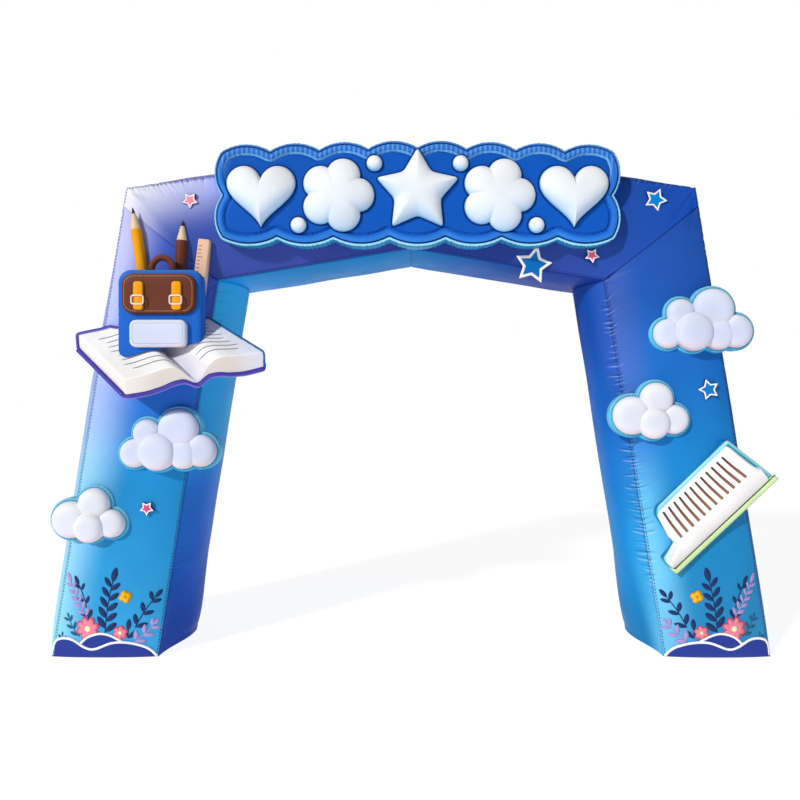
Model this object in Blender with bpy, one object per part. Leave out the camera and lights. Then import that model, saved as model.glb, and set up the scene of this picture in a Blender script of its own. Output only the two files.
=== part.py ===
"""Inflatable entrance arch with padded appliques, for Blender 4.5.

Run with blender --background --python part.py, or from Blender's text editor.
Metres, +Z up, X across the arch, the front faces -Y, and the feet stand on Z = 0.
The arch is four inflated chambers: two leaning legs and two halves of a gabled beam.
Its front carries a padded sign, four clouds, six stars, an open book with a satchel on it,
and a notebook. Each sewn or fitted piece is its own solid.
"""

import math
from collections import namedtuple

import bmesh
import bpy
from mathutils import Vector

# ---- Driving dimensions of the arch, seam line to seam line -------------------------------
BASE_OUTER_X = 4.00  # outer seam at the floor, from the centre line
BASE_INNER_X = 2.80
KNEE_OUTER = (3.17, 5.215)  # x, z of the outer top corner
KNEE_INNER = (2.14, 4.175)
RIDGE_OUTER_Z = 5.63
RIDGE_INNER_Z = 4.53
KNEE_SEAM_Z = 5.01  # where the knee seam meets the outer edge, below the corner
DEPTH = 1.20  # front seam plane to back seam plane
FRONT_Y = -0.365  # the front seam plane
BACK_Y = FRONT_Y + DEPTH

# ---- How far each face crowns past its seams ------------------------------------------------
FACE_CROWN = 0.13  # front and back
OUTER_CROWN = 0.17  # plus or minus SIDE_SWELL
SIDE_SWELL = 0.03  # the left leg stands fuller than the right
INNER_CROWN = 0.185  # of the legs, level
BEAM_INNER_CROWN = 0.06  # of the beam's underside, downwards
BEAM_TOP_CROWN = 0.14
SEAM_OUTER_CROWN = 0.09  # of the outer face where the knee seam meets it
CROWN_POWER = 2.4  # 2 is a plain arc; more is flatter in the middle
SEAM_TUCK = 0.016  # how deep a pucker draws the seams in

# share of the leg's height from the floor, share of the full crown there
FOOT_SHARES = (0.0, 0.012, 0.035, 0.075)
FACE_FULLNESS = ((0.0, 0.25), (0.012, 0.48), (0.035, 0.74), (0.075, 0.94), (0.12, 1.0), (1.0, 1.0))
SIDE_FULLNESS = ((0.0, 0.62), (0.012, 0.78), (0.035, 0.90), (0.075, 0.97), (0.12, 1.0), (1.0, 1.0))
OUTER_NARROWS = 0.88  # from this share up, the outer crown falls to its size at the knee seam
# share of the way from the knee to the ridge, crown of the beam's inner face there: level, then down
LEVEL_PUSH = ((0.0, INNER_CROWN), (0.05, 0.7 * INNER_CROWN), (0.16, 0.0), (1.0, 0.0))
DOWN_PUSH = ((0.0, 0.0), (0.05, 0.4 * BEAM_INNER_CROWN), (0.2, BEAM_INNER_CROWN), (1.0, BEAM_INNER_CROWN))
CORNER_CROWN = 0.3 * BEAM_TOP_CROWN  # of the outer face at the outer top corner
CORNER_END = 0.10  # share of the beam's top edge that the sections round the corner take

FACE_STEPS = 8
SIDE_STEPS = 6
LEG_TUCKS = 10
BEAM_TUCKS = 5

GAP = 0.0003  # between two pieces that touch
SEAT_Y = 0.02  # backs of the appliques start this far in front of the seam plane

# ---- Padded sign ------------------------------------------------------------------------------
SIGN_CENTRE = (0.07, 5.05)
SIGN_HALF_WIDTH = 2.11
SIGN_HALF_HEIGHT = 0.47
SIGN_GABLE = 0.05  # rise of the sign's top at its middle
SIGN_THICK = 0.30
SIGN_EDGE = 0.06  # rounding of the rim
SCALLOP_RISE = 0.075
# Motifs on the sign: x and z from the sign's centre, size, height of the puff. The paired ones repeat at -x.
Motif = namedtuple("Motif", "name x z size height")
SIGN_STAR = Motif("sign_star", 0.0, 0.03, 0.47, 0.13)
SIGN_PAIRS = (
    Motif("sign_flower", 0.86, -0.01, 0.40, 0.13),
    Motif("sign_heart", 1.67, -0.02, 0.37, 0.13),
    Motif("sign_dot_upper", 0.46, 0.33, 0.085, 0.07),
    Motif("sign_dot_lower", 1.27, -0.33, 0.085, 0.07),
)

# ---- Clouds: lobes as x, z, radius from the cloud's centre ------------------------------------
Lobe = namedtuple("Lobe", "x z radius")
LARGE_CLOUD = (
    Lobe(0.116, 0.145, 0.235),
    Lobe(-0.243, 0.104, 0.160),
    Lobe(-0.388, -0.125, 0.165),
    Lobe(-0.112, -0.104, 0.215),
    Lobe(0.200, -0.125, 0.180),
    Lobe(0.371, -0.096, 0.186),
)
SMALL_CLOUD = (
    Lobe(-0.227, -0.055, 0.210),
    Lobe(0.067, 0.115, 0.190),
    Lobe(0.273, -0.095, 0.156),
    Lobe(0.023, -0.146, 0.170),
)
Cloud = namedtuple("Cloud", "name lobes x z scale")
CLOUDS = (
    Cloud("cloud_upper_left", LARGE_CLOUD, -2.640, 2.390, 0.95),
    Cloud("cloud_lower_left", SMALL_CLOUD, -3.500, 1.605, 0.91),
    Cloud("cloud_upper_right", LARGE_CLOUD, 3.172, 3.694, 0.975),
    Cloud("cloud_middle_right", SMALL_CLOUD, 2.612, 2.741, 0.945),
)
CLOUD_RIM = 0.034  # the rim shows this much round the puff
CLOUD_SEAT = 0.045
CLOUD_FRONT = 0.165  # of the rim, in front of the seam plane
CLOUD_EDGE = 0.03  # rounding of the rim
CLOUD_PUFF = 0.16  # height of the largest lobe over the rim
LOBE_ROOT = 0.02  # how far a lobe reaches behind the rim's front before it is cut flat
CLOUD_POINTS = 44
LOBE_POINTS = 18
LOBE_RINGS = 5

# ---- Stars: x, z, radius to the tips, degrees that the first tip is turned from +X ---------
Star = namedtuple("Star", "name x z radius turn colour")
STARS = (
    Star("star_pink_beam_left", -2.415, 5.035, 0.098, 270, "star_pink"),
    Star("star_blue_beam_right", 2.680, 5.046, 0.138, 66, "star_blue"),
    Star("star_blue_large", 1.350, 4.340, 0.222, 79, "star_blue"),
    Star("star_pink_beam_right", 1.985, 4.435, 0.092, 276, "star_pink"),
    Star("star_blue_leg_right", 3.262, 2.965, 0.126, 108, "star_blue"),
    Star("star_pink_leg_left", -2.885, 1.668, 0.088, 270, "star_pink"),
)
STAR_THICK = 0.034
STAR_ROOT = 0.055  # how far a star's back reaches into the arch's crown before it is cut
STAR_EDGE = 0.012
STAR_WAIST = 0.52  # inner radius over tip radius

# ---- Open book: x, depth in front of the seam plane, z of the six corners of its base ---------
SPINE_BACK = Vector((-2.879, 0.02, 3.497))
SPINE_FRONT = Vector((-2.228, 0.52, 3.013))
LEFT_BACK = Vector((-3.667, 0.02, 3.420))
LEFT_FRONT = Vector((-2.967, 0.52, 2.913))
RIGHT_BACK = Vector((-2.232, 0.02, 3.600))
RIGHT_FRONT = Vector((-1.537, 0.52, 3.204))
# share of the page's width from the spine, rise of the cover there, thickness of the pages there
PAGE_BLOCK = (
    (0.004, 0.000, 0.020),
    (0.10, 0.045, 0.040),
    (0.20, 0.085, 0.085),
    (0.32, 0.075, 0.140),
    (0.50, 0.035, 0.170),
    (0.75, 0.005, 0.165),
    (1.00, 0.000, 0.150),
)
COVER_THICK = 0.042
UNDER_PAGES = 0.9  # how far the cutter under the pages reaches down
COVER_MARGIN = 0.06  # share of the page's width that the cover stands past it
COVER_LIP = 1.04  # the cover's front edge, as a share of the way from its back to the pages' front
RISE_LEAN = 0.2  # how far what rises off the book's base also leans to the front, per metre

# ---- Satchel and what stands behind it -----------------------------------------------------------
SATCHEL_X = -2.66
SATCHEL_WIDTH = 0.90
SATCHEL_BOTTOM_Z = 3.02  # cut to the pages that it stands on
SATCHEL_TOP_Z = 4.24
SATCHEL_BACK = 0.215  # in front of the seam plane
SATCHEL_FRONT = 0.395
SATCHEL_CORNER = 0.14
SATCHEL_EDGE = 0.05
# half the width, z of its lower and upper edge, corner radius, thickness, rounding of the rim
Patch = namedtuple("Patch", "half_width low high corner thick edge slot")
POCKET = Patch(0.30, 3.41, 3.70, 0.07, 0.07, 0.03, "puff_white")
FLAP = Patch(0.39, 3.76, 4.19, 0.13, 0.05, 0.025, "satchel_brown")
STRAP = Patch(0.05, 3.80, 4.10, 0.03, 0.03, 0.01, "satchel_yellow")
STRAP_X = 0.20  # from the satchel's middle
HANDLE_RADIUS = 0.15
HANDLE_HALF_THICK = 0.040

# foot as x, z; degrees that the pencil leans to the left
Pencil = namedtuple("Pencil", "name slot foot_x foot_z lean length radius")
PENCILS = (
    Pencil("pencil_yellow", "satchel_yellow", -2.80, 3.45, 9.0, 1.52, 0.060),
    Pencil("pencil_brown", "satchel_brown", -2.56, 3.45, -3.0, 1.36, 0.060),
)
PENCIL_DEPTH = 0.148  # of the pencils' middles in front of the seam plane
PENCIL_SHOULDER = 0.84  # share of the length where the cone starts
PENCIL_TIP = (0.965, 0.28)  # share of the length and of the radius just under the tip
PENCIL_SIDES = 10
RULER_SIZE = (0.13, 1.10)
RULER_CORNER = 0.02
RULER_FOOT = (-2.38, 3.51)
RULER_LEAN = math.radians(-7.0)
RULER_BACK = 0.09  # in front of the seam plane
RULER_FRONT = 0.19
RULER_EDGE = 0.015

# ---- Notebook: its own p axis runs up its long edge, q across it ---------------------------------
NOTEBOOK_CORNER = (2.877, 0.960)
NOTEBOOK_TURN = math.radians(43.1)
NOTEBOOK_COVER = (
    (0.0, 0.06), (1.513, 0.06), (1.415, 0.674), (0.36, 0.66), (0.285, 0.60), (0.215, 0.25), (0.012, 0.20)
)
NOTEBOOK_COVER_THICK = 0.15
NOTEBOOK_COVER_EDGE = 0.03
NOTEBOOK_STRIP_WIDE = 0.06
NOTEBOOK_STRIP_LONG = 1.522
NOTEBOOK_STRIP_THICK = 0.20
NOTEBOOK_STRIP_EDGE = 0.018
Station = namedtuple("Station", "p low high")  # low and high are q
BLOCK_STATIONS = (
    Station(0.035, 0.10, 0.17),
    Station(0.065, 0.085, 0.205),
    Station(0.17, 0.085, 0.26),
    Station(1.36, 0.085, 0.26),
    Station(1.425, 0.085, 0.26),
)
PAGE_STATIONS = (
    Station(0.22, 0.26 + GAP, 0.36),
    Station(0.285, 0.26 + GAP, 0.59),
    Station(0.34, 0.26 + GAP, 0.625),
    Station(1.357, 0.26 + GAP, 0.645),
    Station(1.40, 0.26 + GAP, 0.34),
)
# share of the way from low to high, height over the cover
BLOCK_PROFILE = ((0.0, 0.02), (0.12, 0.09), (0.45, 0.15), (1.0, 0.155))
PAGE_PROFILE = ((0.0, 0.155), (0.3, 0.135), (0.65, 0.09), (1.0, 0.03))

Finish = namedtuple("Finish", "colour roughness")
FINISHES = {
    "arch_fabric": Finish((0.10, 0.22, 0.62), 0.42),
    "sign_blue": Finish((0.01, 0.12, 0.52), 0.40),
    "puff_white": Finish((0.86, 0.88, 0.92), 0.45),
    "rim_cyan": Finish((0.09, 0.45, 0.66), 0.42),
    "star_pink": Finish((0.80, 0.15, 0.24), 0.45),
    "star_blue": Finish((0.02, 0.22, 0.60), 0.45),
    "cover_violet": Finish((0.11, 0.09, 0.42), 0.42),
    "page_white": Finish((0.88, 0.87, 0.86), 0.50),
    "satchel_blue": Finish((0.02, 0.15, 0.52), 0.45),
    "satchel_brown": Finish((0.17, 0.05, 0.025), 0.45),
    "satchel_yellow": Finish((0.85, 0.42, 0.02), 0.45),
    "ruler_peach": Finish((0.85, 0.55, 0.40), 0.45),
    "notebook_green": Finish((0.55, 0.75, 0.30), 0.45),
}


# ---- Small helpers -------------------------------------------------------------------------------
def clear_scene():
    for obj in list(bpy.data.objects):
        bpy.data.objects.remove(obj, do_unlink=True)


def material(slot):
    found = bpy.data.materials.get(slot)
    if found:
        return found
    finish = FINISHES[slot]
    made = bpy.data.materials.new(slot)
    made.use_nodes = True
    shader = made.node_tree.nodes["Principled BSDF"]
    shader.inputs["Base Color"].default_value = (*finish.colour, 1.0)
    shader.inputs["Roughness"].default_value = finish.roughness
    shader.inputs["Metallic"].default_value = 0.0
    return made


def mix(a, b, share):
    """The value or point that lies share of the way from a to b."""
    return a + (b - a) * share


def table_value(table, at):
    """A table of (position, value) rows, read with straight lines between them."""
    for (x0, y0), (x1, y1) in zip(table, table[1:]):
        if at <= x1:
            return mix(y0, y1, (at - x0) / (x1 - x0))
    return table[-1][1]


def skin(name, rings, slot):
    """A closed solid through rings of equal length. A ring of one point closes that end."""
    mesh = bpy.data.meshes.new(name)
    work = bmesh.new()
    loops = [[work.verts.new(point) for point in ring] for ring in rings]
    for low, high in zip(loops, loops[1:]):
        count = max(len(low), len(high))
        for i in range(count):
            j = (i + 1) % count
            corners = [low[k % len(low)] for k in (i, j)] + [high[k % len(high)] for k in (j, i)]
            for triangle in (corners[:3], [corners[0], *corners[2:]]):
                if len(set(triangle)) == 3:
                    work.faces.new(triangle)
    for end in (loops[0], loops[-1]):
        if len(end) > 2:
            work.faces.new(end)
    bmesh.ops.recalc_face_normals(work, faces=work.faces)
    work.to_mesh(mesh)
    work.free()
    mesh.shade_smooth()
    mesh.set_sharp_from_angle(angle=math.radians(40))
    obj = bpy.data.objects.new(name, mesh)
    bpy.context.scene.collection.objects.link(obj)
    obj.data.materials.append(material(slot))
    return obj


def as_cutter(obj):
    obj.hide_render = True
    obj.display_type = "WIRE"
    return obj


def carve(obj, *cutters):
    """Cuts obj back to the pieces that it sits against."""
    for cutter in cutters:
        cut = obj.modifiers.new("cut by " + cutter.name, "BOOLEAN")
        cut.operation = "DIFFERENCE"
        cut.solver = "EXACT"
        cut.object = cutter
    return obj


def flat(outline, depth):
    """An outline of (x, z) points as a ring that lies depth in front of the seam plane."""
    return [Vector((x, FRONT_Y - depth, z)) for x, z in outline]


def inset(outline, by):
    """The outline, which runs anticlockwise as seen from the front, moved inwards."""
    moved = []
    for i, here in enumerate(outline):
        before, after = Vector(outline[i - 1]), Vector(outline[(i + 1) % len(outline)])
        here = Vector(here)
        into = (here - before).normalized()
        out = (after - here).normalized()
        normal = Vector((into.y + out.y, -into.x - out.x))
        if normal.length < 1e-6:
            normal = Vector((into.y, -into.x))
        normal.normalize()
        stretch = min(1.5, 1.0 / max(0.2, normal.dot(Vector((out.y, -out.x)))))
        moved.append(tuple(here - normal * by * stretch))
    return moved


def panel(name, outline, back, front, edge, slot):
    """A padded slab with a rounded rim round its front."""
    rings = [
        flat(outline, back),
        flat(outline, front - edge),
        flat(inset(outline, 0.3 * edge), front - 0.3 * edge),
        flat(inset(outline, edge), front),
    ]
    return skin(name, rings, slot)


# share of the outline's size, share of the height: the side view of a puffed shape
PUFF_PROFILE = ((1.0, 0.0), (0.985, 0.28), (0.93, 0.56), (0.80, 0.80), (0.50, 0.96))


def puff(name, centre, outline, back, height, slot):
    """A puffed shape over a flat back. The outline is given from its centre."""
    x, z = centre
    rings = []
    for share, rise in PUFF_PROFILE:
        ring = [(x + share * px, z + share * pz) for px, pz in outline]
        rings.append(flat(ring, back + rise * height))
    rings.append(flat([(x, z)], back + height))
    return skin(name, rings, slot)


def arc(start, end, rise, steps):
    """Points of an arc that bulges rise to the right of its way from start to end. The end is left out."""
    start, end = Vector(start), Vector(end)
    chord = end - start
    side = Vector((chord.y, -chord.x)).normalized()
    half = chord.length / 2
    radius = (half * half + rise * rise) / (2 * rise)
    sweep = math.asin(half / radius)
    points = []
    for i in range(steps):
        angle = mix(-sweep, sweep, i / steps)
        along = start + chord * (0.5 + radius * math.sin(angle) / chord.length)
        points.append(tuple(along + side * (radius * math.cos(angle) - radius + rise)))
    return points


# ---- The inflated arch ---------------------------------------------------------------------------
Section = namedtuple("Section", "inner outer face inner_push outer_crown tuck")


def crown(share):
    return 1.0 - abs(2.0 * share - 1.0) ** CROWN_POWER


def spaced(steps):
    """Shares from 0 to 1, closer together at both ends. The last is left out."""
    return [(1.0 - math.cos(math.pi * i / steps)) / 2.0 for i in range(steps)]


def section_ring(section, side):
    """The points round one cross-section. side is +1 for the right half of the arch and -1 for the left.

    The inner face crowns along its own direction, so that a leg swells level and the beam swells down.
    """
    inner, outer = Vector(section.inner), Vector(section.outer)
    across = (outer - inner).normalized()
    width = (outer - inner).length
    depth = BACK_Y - FRONT_Y
    round_it = []
    for s in spaced(FACE_STEPS):
        round_it.append((s * width, -section.face * crown(s)))
    for s in spaced(SIDE_STEPS):
        round_it.append((width + section.outer_crown * crown(s), s * depth))
    for s in spaced(FACE_STEPS):
        round_it.append(((1 - s) * width, depth + section.face * crown(s)))
    for s in spaced(SIDE_STEPS):
        round_it.append((0.0, (1 - s) * depth))
    centre = Vector((width / 2, depth / 2))
    reach = centre.length
    ring = []
    for i, (a, b) in enumerate(round_it):
        away = Vector((a, b)) - centre
        near_seam = max(0.0, away.length / reach - 0.80) / 0.20
        away -= away.normalized() * section.tuck * near_seam
        at = inner + across * (centre.x + away.x)
        if i >= len(round_it) - SIDE_STEPS:
            at += Vector(section.inner_push) * crown(b / depth)
        ring.append(Vector((side * at.x, FRONT_Y + centre.y + away.y, at.y)))
    return ring


def tucked(index):
    """Every other ring is drawn in at its seams, unevenly."""
    return SEAM_TUCK * (0.45 + 0.55 * abs(math.sin(1.9 * index))) if index % 2 else 0.0


def outer_edge(share):
    """The outer seam of a leg, share of the way from the floor to the outer top corner."""
    return mix(Vector((BASE_OUTER_X, 0.0)), Vector(KNEE_OUTER), share)


def leg_sections(side):
    """From the floor up to the knee seam. Near the floor the faces flatten on to the foot panel."""
    knee_share = KNEE_SEAM_Z / KNEE_OUTER[1]
    swollen = OUTER_CROWN - side * SIDE_SWELL
    outer_crowns = ((0.0, swollen), (OUTER_NARROWS, swollen), (1.0, SEAM_OUTER_CROWN))
    count = 2 * LEG_TUCKS
    shares = list(FOOT_SHARES)
    shares += [mix(0.12, 0.985, (i + 0.3 * math.sin(2.7 * i)) / count) for i in range(count)]
    shares.append(1.0)
    sections = []
    for i, share in enumerate(shares):
        full = table_value(SIDE_FULLNESS, share)
        sections.append(Section(
            inner=mix(Vector((BASE_INNER_X, 0.0)), Vector(KNEE_INNER), share),
            outer=outer_edge(knee_share * share),
            face=FACE_CROWN * table_value(FACE_FULLNESS, share),
            inner_push=(-INNER_CROWN * full, 0.0),
            outer_crown=full * table_value(outer_crowns, share),
            tuck=tucked(i) if 0.1 < share < 1.0 else 0.0,
        ))
    return sections


def inner_push(share):
    """The crown of the beam's inner face, as x and z: it takes over from the leg's at the knee."""
    return (-table_value(LEVEL_PUSH, share), -table_value(DOWN_PUSH, share))


def beam_sections():
    """From the knee seam round the corner and up to the ridge."""
    knee_in, knee_out = Vector(KNEE_INNER), Vector(KNEE_OUTER)
    ridge_in, ridge_out = Vector((0.0, RIDGE_INNER_Z)), Vector((0.0, RIDGE_OUTER_Z))
    seam_out = outer_edge(KNEE_SEAM_Z / KNEE_OUTER[1])
    # share of the way along the inner seam, outer end of the section, crown of the outer face
    fan = (
        (0.0, seam_out, SEAM_OUTER_CROWN),
        (0.009, mix(seam_out, knee_out, 0.6), 0.6 * SEAM_OUTER_CROWN),
        (0.018, knee_out, CORNER_CROWN),
        (0.034, mix(knee_out, ridge_out, 0.5 * CORNER_END), 2 * CORNER_CROWN),
    )
    sections = [
        Section(mix(knee_in, ridge_in, share), outer, FACE_CROWN, inner_push(share), crown_there, 0.0)
        for share, outer, crown_there in fan
    ]
    count = 2 * BEAM_TUCKS
    for i in range(1, count + 1):
        share = (i + 0.25 * math.sin(2.3 * i)) / count if i < count else 1.0
        sections.append(Section(
            inner=mix(knee_in, ridge_in, share),
            outer=mix(knee_out, ridge_out, mix(CORNER_END, 1.0, share)),
            face=FACE_CROWN,
            inner_push=inner_push(share),
            outer_crown=BEAM_TOP_CROWN,
            tuck=tucked(i) if i < count else 0.0,
        ))
    return sections


def pulled_back(ring, towards):
    """The end ring of a chamber, half a gap short of the seam plane that it shares with its neighbour."""
    shift = (towards[0] - ring[0]).normalized() * GAP
    return [point + shift for point in ring]


def middle(ring):
    """The middle of a ring, as the ring of one point that closes a chamber's end."""
    return [sum(ring, Vector()) / len(ring)]


def build_arch():
    """The four chambers, and the cutter that seats the appliques against them."""
    cutter_rings = []
    for name, side in (("left", -1), ("right", 1)):
        leg_rings = [section_ring(s, side) for s in leg_sections(side)]
        beam_rings = [section_ring(s, side) for s in beam_sections()]
        half = leg_rings + beam_rings[1:]
        cutter_rings = half[:-1] + cutter_rings if side < 0 else cutter_rings + half[::-1]
        leg_rings[-1] = pulled_back(leg_rings[-1], leg_rings[-2])
        leg_rings.append(middle(leg_rings[-1]))
        beam_rings.insert(0, middle(beam_rings[0]))
        beam_rings[-1] = [p + Vector((side * GAP, 0, 0)) for p in beam_rings[-1]]
        way = -side  # the rings run from the left foot to the right one, so that the cutter's facets match
        skin("leg_" + name, leg_rings[::way], "arch_fabric")
        skin("beam_" + name, beam_rings[::way], "arch_fabric")
    forward = Vector((0, -GAP - 0.0001, 0))
    cutter_rings = [[point + forward for point in ring] for ring in cutter_rings]
    return as_cutter(skin("arch_clearance", cutter_rings, "arch_fabric"))


# ---- The sign ------------------------------------------------------------------------------------
def sign_outline():
    """A long panel with a scalloped edge, its top a low gable."""
    x, z = SIGN_CENTRE
    left, right = x - SIGN_HALF_WIDTH, x + SIGN_HALF_WIDTH
    low, high = z - SIGN_HALF_HEIGHT, z + SIGN_HALF_HEIGHT
    # start, end, lobes along it, steps round a lobe
    sides = (
        ((left, low), (right, low), 7, 5),
        ((right, low), (right, high), 2, 6),
        ((right, high), (x, high + SIGN_GABLE), 4, 5),
        ((x, high + SIGN_GABLE), (left, high), 4, 5),
        ((left, high), (left, low), 2, 6),
    )
    outline = []
    for start, end, lobes, steps in sides:
        for i in range(lobes):
            a = mix(Vector(start), Vector(end), i / lobes)
            b = mix(Vector(start), Vector(end), (i + 1) / lobes)
            outline += arc(a, b, SCALLOP_RISE, steps)
    return outline


def star_outline(radius, waist, turn, tip_round=0.12):
    """A five-pointed star with its tips and corners cut round."""
    points = []
    for i in range(10):
        reach = radius if i % 2 == 0 else waist * radius
        for shift in (-tip_round, tip_round):
            angle = math.radians(turn + 36 * (i + shift))
            points.append((reach * math.cos(angle), reach * math.sin(angle)))
    return points


def flower_outline(radius, petals, points=48):
    """Round petals that meet in short clefts."""
    outline = []
    for i in range(points):
        angle = math.tau * (i + 0.5) / points
        reach = radius * (0.74 + 0.26 * abs(math.cos(petals * angle / 2)) ** 0.7)
        outline.append((reach * math.cos(angle), reach * math.sin(angle)))
    return outline


def heart_outline(size, points=36):
    outline = []
    for i in range(points):
        t = math.tau * (i + 0.5) / points
        x = 16 * math.sin(t) ** 3
        z = 13 * math.cos(t) - 5 * math.cos(2 * t) - 2 * math.cos(3 * t) - math.cos(4 * t)
        outline.append((-size * x / 16, size * (z + 2) / 16))
    return outline


def circle_outline(radius, points=14):
    turns = [math.tau * i / points for i in range(points)]
    return [(radius * math.cos(turn), radius * math.sin(turn)) for turn in turns]


def motif_outline(motif):
    if "star" in motif.name:
        return star_outline(motif.size, 0.55, 90)
    if "flower" in motif.name:
        return flower_outline(motif.size, 5)
    if "heart" in motif.name:
        return heart_outline(motif.size)
    return circle_outline(motif.size)


def build_sign(arch):
    front = SEAT_Y + SIGN_THICK
    carve(panel("sign_panel", sign_outline(), SEAT_Y, front, SIGN_EDGE, "sign_blue"), arch)
    placed = [(SIGN_STAR, SIGN_STAR.name, 1)]
    for motif in SIGN_PAIRS:
        placed += [(motif, motif.name + "_left", -1), (motif, motif.name + "_right", 1)]
    for motif, name, side in placed:
        centre = (SIGN_CENTRE[0] + side * motif.x, SIGN_CENTRE[1] + motif.z)
        puff(name, centre, motif_outline(motif), front + GAP, motif.height, "puff_white")


# ---- Clouds and stars ----------------------------------------------------------------------------
def lobed_reach(lobes, angle, grow):
    """How far the outline of the joined lobes lies from the cloud's centre, in that direction."""
    direction = Vector((math.cos(angle), math.sin(angle)))
    furthest = 0.0
    for lobe in lobes:
        centre = Vector((lobe.x, lobe.z))
        along = direction.dot(centre)
        inside = along * along - centre.length_squared + (lobe.radius + grow) ** 2
        if inside > 0:
            furthest = max(furthest, along + math.sqrt(inside))
    return furthest


def lobed_ring(cloud, grow, share=1.0):
    """Points of the cloud's outline, grown by that much, or of a smaller copy of it."""
    ring = []
    for i in range(CLOUD_POINTS):
        angle = math.tau * i / CLOUD_POINTS
        reach = share * cloud.scale * lobed_reach(cloud.lobes, angle, grow / cloud.scale)
        ring.append((cloud.x + reach * math.cos(angle), cloud.z + reach * math.sin(angle)))
    return ring


def lobe_solid(name, cloud, lobe, back):
    """One lobe of a cloud's puff: the front of an ellipsoid, with a short root behind it."""
    radius = cloud.scale * lobe.radius
    height = CLOUD_PUFF * (lobe.radius / max(other.radius for other in cloud.lobes)) ** 0.7
    x, z = cloud.x + cloud.scale * lobe.x, cloud.z + cloud.scale * lobe.z
    rings = []
    climbs = [math.pi / 2 * i / LOBE_RINGS for i in range(LOBE_RINGS)]
    for depth, share in [(-LOBE_ROOT, 1.0)] + [(height * math.sin(t), math.cos(t)) for t in climbs]:
        ring = circle_outline(share * radius, LOBE_POINTS)
        rings.append(flat([(x + a, z + b) for a, b in ring], back + depth))
    rings.append(flat([(x, z)], back + height))
    return skin(name, rings, "puff_white")


def build_cloud(cloud, arch):
    """A padded rim sewn to the arch and a puff of joined lobes on it."""
    rim = [
        flat(lobed_ring(cloud, CLOUD_RIM), CLOUD_SEAT),
        flat(lobed_ring(cloud, CLOUD_RIM), CLOUD_FRONT - CLOUD_EDGE),
        flat(lobed_ring(cloud, CLOUD_RIM - 0.3 * CLOUD_EDGE), CLOUD_FRONT - 0.3 * CLOUD_EDGE),
        flat(lobed_ring(cloud, CLOUD_RIM - CLOUD_EDGE), CLOUD_FRONT),
    ]
    carve(skin(cloud.name + "_rim", rim, "rim_cyan"), arch)
    back = CLOUD_FRONT + GAP
    puffed = lobe_solid(cloud.name + "_puff", cloud, cloud.lobes[0], back)
    for i, lobe in enumerate(cloud.lobes[1:]):
        other = as_cutter(lobe_solid(f"{cloud.name}_lobe_{i}", cloud, lobe, back))
        join = puffed.modifiers.new("join", "BOOLEAN")
        join.operation = "UNION"
        join.solver = "EXACT"
        join.object = other
    box = [(cloud.x + a, cloud.z + b) for a, b in ((-2, -2), (2, -2), (2, 2), (-2, 2))]
    seat = skin(cloud.name + "_seat", [flat(box, back - 0.5), flat(box, back)], "puff_white")
    carve(puffed, as_cutter(seat))


def edge_x(z, outer):
    """x of a leg's outer or inner seam at that height, on the right half."""
    if outer:
        return mix(BASE_OUTER_X, KNEE_OUTER[0], z / KNEE_OUTER[1])
    return mix(BASE_INNER_X, KNEE_INNER[0], z / KNEE_INNER[1])


def crown_at(x, z):
    """How far the arch's front stands past the seam plane at that place, near enough for a star's seat."""
    x = abs(x)
    if z < KNEE_INNER[1]:
        share = (x - edge_x(z, False)) / (edge_x(z, True) - edge_x(z, False))
    else:
        low = mix(RIDGE_INNER_Z, KNEE_INNER[1], x / KNEE_INNER[0])
        high = mix(RIDGE_OUTER_Z, KNEE_OUTER[1], x / KNEE_OUTER[0])
        share = (z - low) / (high - low)
    return FACE_CROWN * crown(min(1.0, max(0.0, share)))


def build_star(star, arch):
    """A flat padded star whose back is cut to the arch's crown."""
    seat = crown_at(star.x, star.z)
    front = max(seat, 0.02) + STAR_THICK
    outline = [(star.x + x, star.z + z) for x, z in star_outline(star.radius, STAR_WAIST, star.turn)]
    rings = [
        flat(outline, max(0.004, seat - STAR_ROOT)),
        flat(outline, front - STAR_EDGE),
        flat(inset(outline, STAR_EDGE), front),
    ]
    carve(skin(star.name, rings, star.colour), arch)


# ---- The open book ----------------------------------------------------------------------------------
def book_point(side, u, v, rise):
    """A point over the book's base: u from the spine to the outer edge, v from its back to its front."""
    outer_back, outer_front = (LEFT_BACK, LEFT_FRONT) if side < 0 else (RIGHT_BACK, RIGHT_FRONT)
    at = mix(mix(SPINE_BACK, outer_back, u), mix(SPINE_FRONT, outer_front, u), v)
    rise += table_value([row[:2] for row in PAGE_BLOCK], max(u, PAGE_BLOCK[0][0]))
    return Vector((at.x, FRONT_Y - at.y - RISE_LEAN * rise, at.z + rise))


def page_rings(side, base_rise=GAP, lift=0.0):
    """Cross-sections of a page block, from left to right."""
    rings = []
    for u, _, thick in PAGE_BLOCK:
        base = [book_point(side, u, v, base_rise) for v in (0.0, 0.5, 1.0)]
        top = [book_point(side, u, v, thick + GAP) for v in (1.0, 0.5, 0.0)]
        rings.append(base + [point + Vector((0, -lift, lift)) for point in top])
    return rings[::side]


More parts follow.
